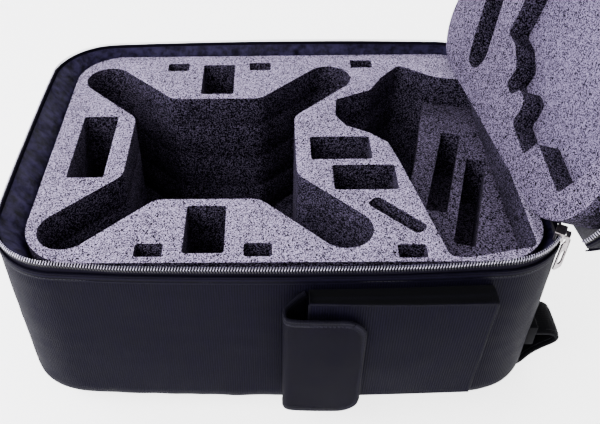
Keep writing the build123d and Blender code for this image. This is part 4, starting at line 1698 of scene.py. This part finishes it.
# ------------------------------------------------------------------ the lid
@dataclass
class Lid:
    """The lid's cloth shell and its foam, modelled closed and swung open."""

    finishes: Finishes
    stiff_edge: float = 229.0
    band_end: float = 214.0
    band_foot: float = 219.0
    top: float = 240.0
    rounding: float = 9.0
    crown: float = 3.0

    def clear_hinge(self, piece: bpy.types.Object, limit: float) -> None:
        """Cut a closed lid piece off square at the hinge side.

        Args:
            piece: the piece.
            limit: X of the cut.
        """
        edit(
            piece,
            lambda: bpy.ops.mesh.bisect(
                plane_co=(limit * MM, 0, 0), plane_no=(1, 0, 0),
                clear_outer=True, clear_inner=False, use_fill=False,
            ),
        )

    def give(self, run: float, height: float) -> float:
        """How slack the lid's cloth is, as an inset in millimetres."""
        spot = OUTLINE.at(run)[0]
        return -0.5 - 0.7 * ripple(spot.x, spot.y, height, 60.0) - 0.3 * ripple(spot.x, spot.y, height, 22.0)

    def build_shell(self) -> None:
        """The outer panel with its rounded edge, and the side band below it."""
        shoulder = self.top - self.rounding
        arc = math.pi / 2 * self.rounding
        total = arc + 170.0

        def panel_place(u: float, v: float) -> Vector:
            """Where a point of the outer panel goes."""
            run, rest = u * OUTLINE.length, v * total
            if rest < arc:
                turn = rest / self.rounding
                inset = self.rounding * (1 - math.cos(turn))
                height = shoulder + self.rounding * math.sin(turn)
                return OUTLINE.at(run, inset + self.give(run, height) * (1 - v))[0] + Vector((0, 0, height))
            share = (rest - arc) / (total - arc)
            spot = OUTLINE.at(run, self.rounding)[0] * (1 - share)
            slack = ripple(spot.x, spot.y, 0.0, 80.0) * 0.8 + ripple(spot.x, spot.y, 5.0, 28.0) * 0.25
            rise = min(1.0, share * 3.0)
            height = self.top + (self.crown + slack) * rise * (1 - (1 - rise) * 0.5)
            return Vector((spot.x, spot.y, height))

        panel = wrapped("lid_panel", 260, 44, panel_place, (OUTLINE.length, total), loop=True)
        self.clear_hinge(panel, self.stiff_edge)

        def band_place(u: float, v: float) -> Vector:
            """Where a point of the side band goes."""
            run = u * OUTLINE.length
            height = self.band_foot - 2.0 + (shoulder + 2.0 - self.band_foot) * v
            return OUTLINE.at(run, self.give(run, height) * v)[0] + Vector((0, 0, height))

        band = wrapped("lid_side_band", 300, 8, band_place, (OUTLINE.length, 14.0), loop=True)
        self.clear_hinge(band, self.band_end)

        def lining_place(u: float, v: float) -> Vector:
            """Where a point of the lid's lining goes."""
            run = u * OUTLINE.length
            pucker = ripple(run, v * 6.0, 1.0, 8.0) * 1.3 * math.sin(math.pi * v)
            height = self.band_foot - 1.0 + 17.0 * v + pucker * 0.4
            return OUTLINE.at(run, 3.4 + 3.2 * v + max(0.0, pucker + 1.0))[0] + Vector((0, 0, height))

        lining = wrapped("lid_lining", 520, 10, lining_place, (OUTLINE.length, 20.0), loop=True)
        self.clear_hinge(lining, self.band_end)
        start, stop = OUTLINE.open_run(self.band_end)
        path = []
        for index in range(401):
            run = start + (stop - start) * index / 400
            path.append(OUTLINE.at(run, 0.1)[0] + Vector((0, 0, self.band_foot + 0.6)))
        fold = tube("lid_rim_fold", 12, path, flat_section(8.6, 2.3, 3.4), Vector((0, 0, 1)), 20.0)
        for piece, slot, material, thick in (
            (panel, "case_fabric", self.finishes.cloth, 1.4),
            (band, "case_fabric", self.finishes.cloth, 1.4),
            (lining, "satin_lining", self.finishes.satin, 0.6),
            (fold, "piping", self.finishes.cloth, 0.0),
        ):
            if thick:
                modify(piece, "SOLIDIFY", thickness=thick * MM, offset=-1.0 if piece is not lining else 0.0)
            lid_open(piece)
            smooth(piece, 60)
            paint(piece, material)
            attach(piece, Body.LID.value)
        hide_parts("lid_panel")
        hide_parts("lid_side_band")
        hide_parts("lid_lining")
        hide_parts("lid_piping")
        (stop - start) * MM
        (stop - start) * MM

    def build_foam(self) -> None:
        """The lid's foam: a backing sheet and the sheet with the cut-outs."""
        axis = body_joint("lid_hinge")[1]
        down = Matrix.Rotation(LID_OPEN, 3, axis) @ Vector((0, 0, -1))
        # The cut-out sheet's inward faces take the lid skin finish, which is darkened with painted shade.
        skins = {"lid_foam_backing": self.finishes.recess, "lid_cutout_foam": self.finishes.lid_skin_painted_shade}
        for node, face_in in skins.items():
            piece = softened(node, node, 0.9 if node == "lid_cutout_foam" else 0.5, 2)
            paint(piece, self.finishes.cut, face_in)
            for face in piece.data.polygons:
                face.material_index = 1 if face.normal.dot(down) > 0.55 else 0
            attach(piece, Body.LID.value)

    def build(self) -> None:
        """Make the lid."""
        self.build_shell()
        self.build_foam()


# ------------------------------------------------------------------ boards left as they are
def dress_boards(finishes: Finishes) -> None:
    """Give the stiffening boards inside the cloth their own finish."""
    for node in ("wall_board", "base_board", "lid_board"):
        paint(frame["nodes"][node], finishes.board)


# ------------------------------------------------------------------ the studio
@dataclass
class Studio:
    """Pale floor, soft light and the camera."""

    eye: tuple[float, float, float] = (-4.76, -597.73, 634.91)
    pitch: float = 41.783
    yaw: float = 1.429
    roll: float = -1.331
    lens: float = 44.194
    shift: tuple[float, float] = (0.0707, -0.0029)

    def build_camera(self) -> None:
        """The camera above the near side."""
        spin = Matrix.Rotation(math.radians(self.yaw), 3, "Z")
        tilt = math.radians(self.pitch)
        right = spin @ Vector((1, 0, 0))
        ahead = spin @ Vector((0, math.cos(tilt), -math.sin(tilt)))
        above = spin @ Vector((0, math.sin(tilt), math.cos(tilt)))
        roll = math.radians(self.roll)
        right, above = (
            right * math.cos(roll) + above * math.sin(roll),
            above * math.cos(roll) - right * math.sin(roll),
        )
        camera = bpy.data.cameras.new("camera")
        camera.sensor_width = 36.0
        camera.lens = self.lens
        camera.shift_x, camera.shift_y = self.shift
        camera.clip_start, camera.clip_end = 0.01, 50.0
        holder = bpy.data.objects.new("camera", camera)
        bpy.context.collection.objects.link(holder)
        matrix = Matrix((right, above, -ahead)).transposed().to_4x4()
        matrix.translation = Vector(self.eye) * MM
        holder.matrix_world = matrix
        bpy.context.scene.camera = holder

    def lamp(
        self, name: str, place: tuple[float, float, float], size: tuple[float, float],
        power: float, tint: Colour = (1, 1, 1),
    ) -> None:
        """A soft box aimed at the case.

        Args:
            name: the lamp's name.
            place: where it stands, in metres.
            size: its two sides in metres.
            power: watts.
            tint: its colour.
        """
        light = bpy.data.lights.new(name, "AREA")
        light.shape = "RECTANGLE"
        light.size, light.size_y = size
        light.energy = power
        light.color = tint
        holder = bpy.data.objects.new(name, light)
        bpy.context.collection.objects.link(holder)
        holder.location = place
        holder.rotation_euler = (Vector((0.0, 0.0, 0.12)) - Vector(place)).to_track_quat("-Z", "Y").to_euler()

    def build(self) -> None:
        """Set up floor, lamps, sky and camera."""
        self.build_camera()
        deselect()
        bpy.ops.mesh.primitive_plane_add(size=14.0, location=(0, 0, -0.0005))
        floor = bpy.context.active_object
        floor.name = floor.data.name = "studio_floor"
        sheet = Paint("studio_floor")
        grain = sheet.noise(3.0, 2.0)
        tone = sheet.blend(grain.ramp(0.2, 0.8), (0.93, 0.93, 0.935), (0.95, 0.95, 0.955))
        floor.data.materials.append(
            sheet.finish(tone, 0.85, Emission_Color=(1.0, 1.0, 1.0), Emission_Strength=3.2)
        )
        self.lamp("key", (-0.95, -0.75, 1.25), (1.1, 0.9), 36.0)
        self.lamp("left_low", (-0.8, -0.2, 0.3), (0.25, 0.5), 2.2, (0.78, 0.72, 1.0))
        self.lamp("left_strip", (-1.7, 0.35, 0.55), (0.5, 1.4), 34.0, (0.88, 0.88, 1.0))
        self.lamp("back_top", (0.5, 1.5, 1.7), (1.8, 0.8), 34.0)
        world = bpy.data.worlds.new("studio_sky")
        bpy.context.scene.world = world
        world.use_nodes = True
        back = world.node_tree.nodes["Background"]
        back.inputs[0].default_value = (1.0, 1.0, 1.0, 1.0)
        back.inputs[1].default_value = 1.0


def main() -> None:
    """Build the whole case."""
    logging.basicConfig(level=logging.INFO, format="%(message)s")
    finishes = Finishes()
    Studio().build()
    shell = SewnShell(finishes)
    pocket = SidePocket(finishes, shell)
    for part in (FoamBlock(finishes), shell, ZipLine(finishes), pocket, CarryGear(finishes), Lid(finishes)):
        part.build()
        LOG.info("built %s", type(part).__name__)
    dress_boards(finishes)
    deselect()


if __name__ == "__main__":
    main()
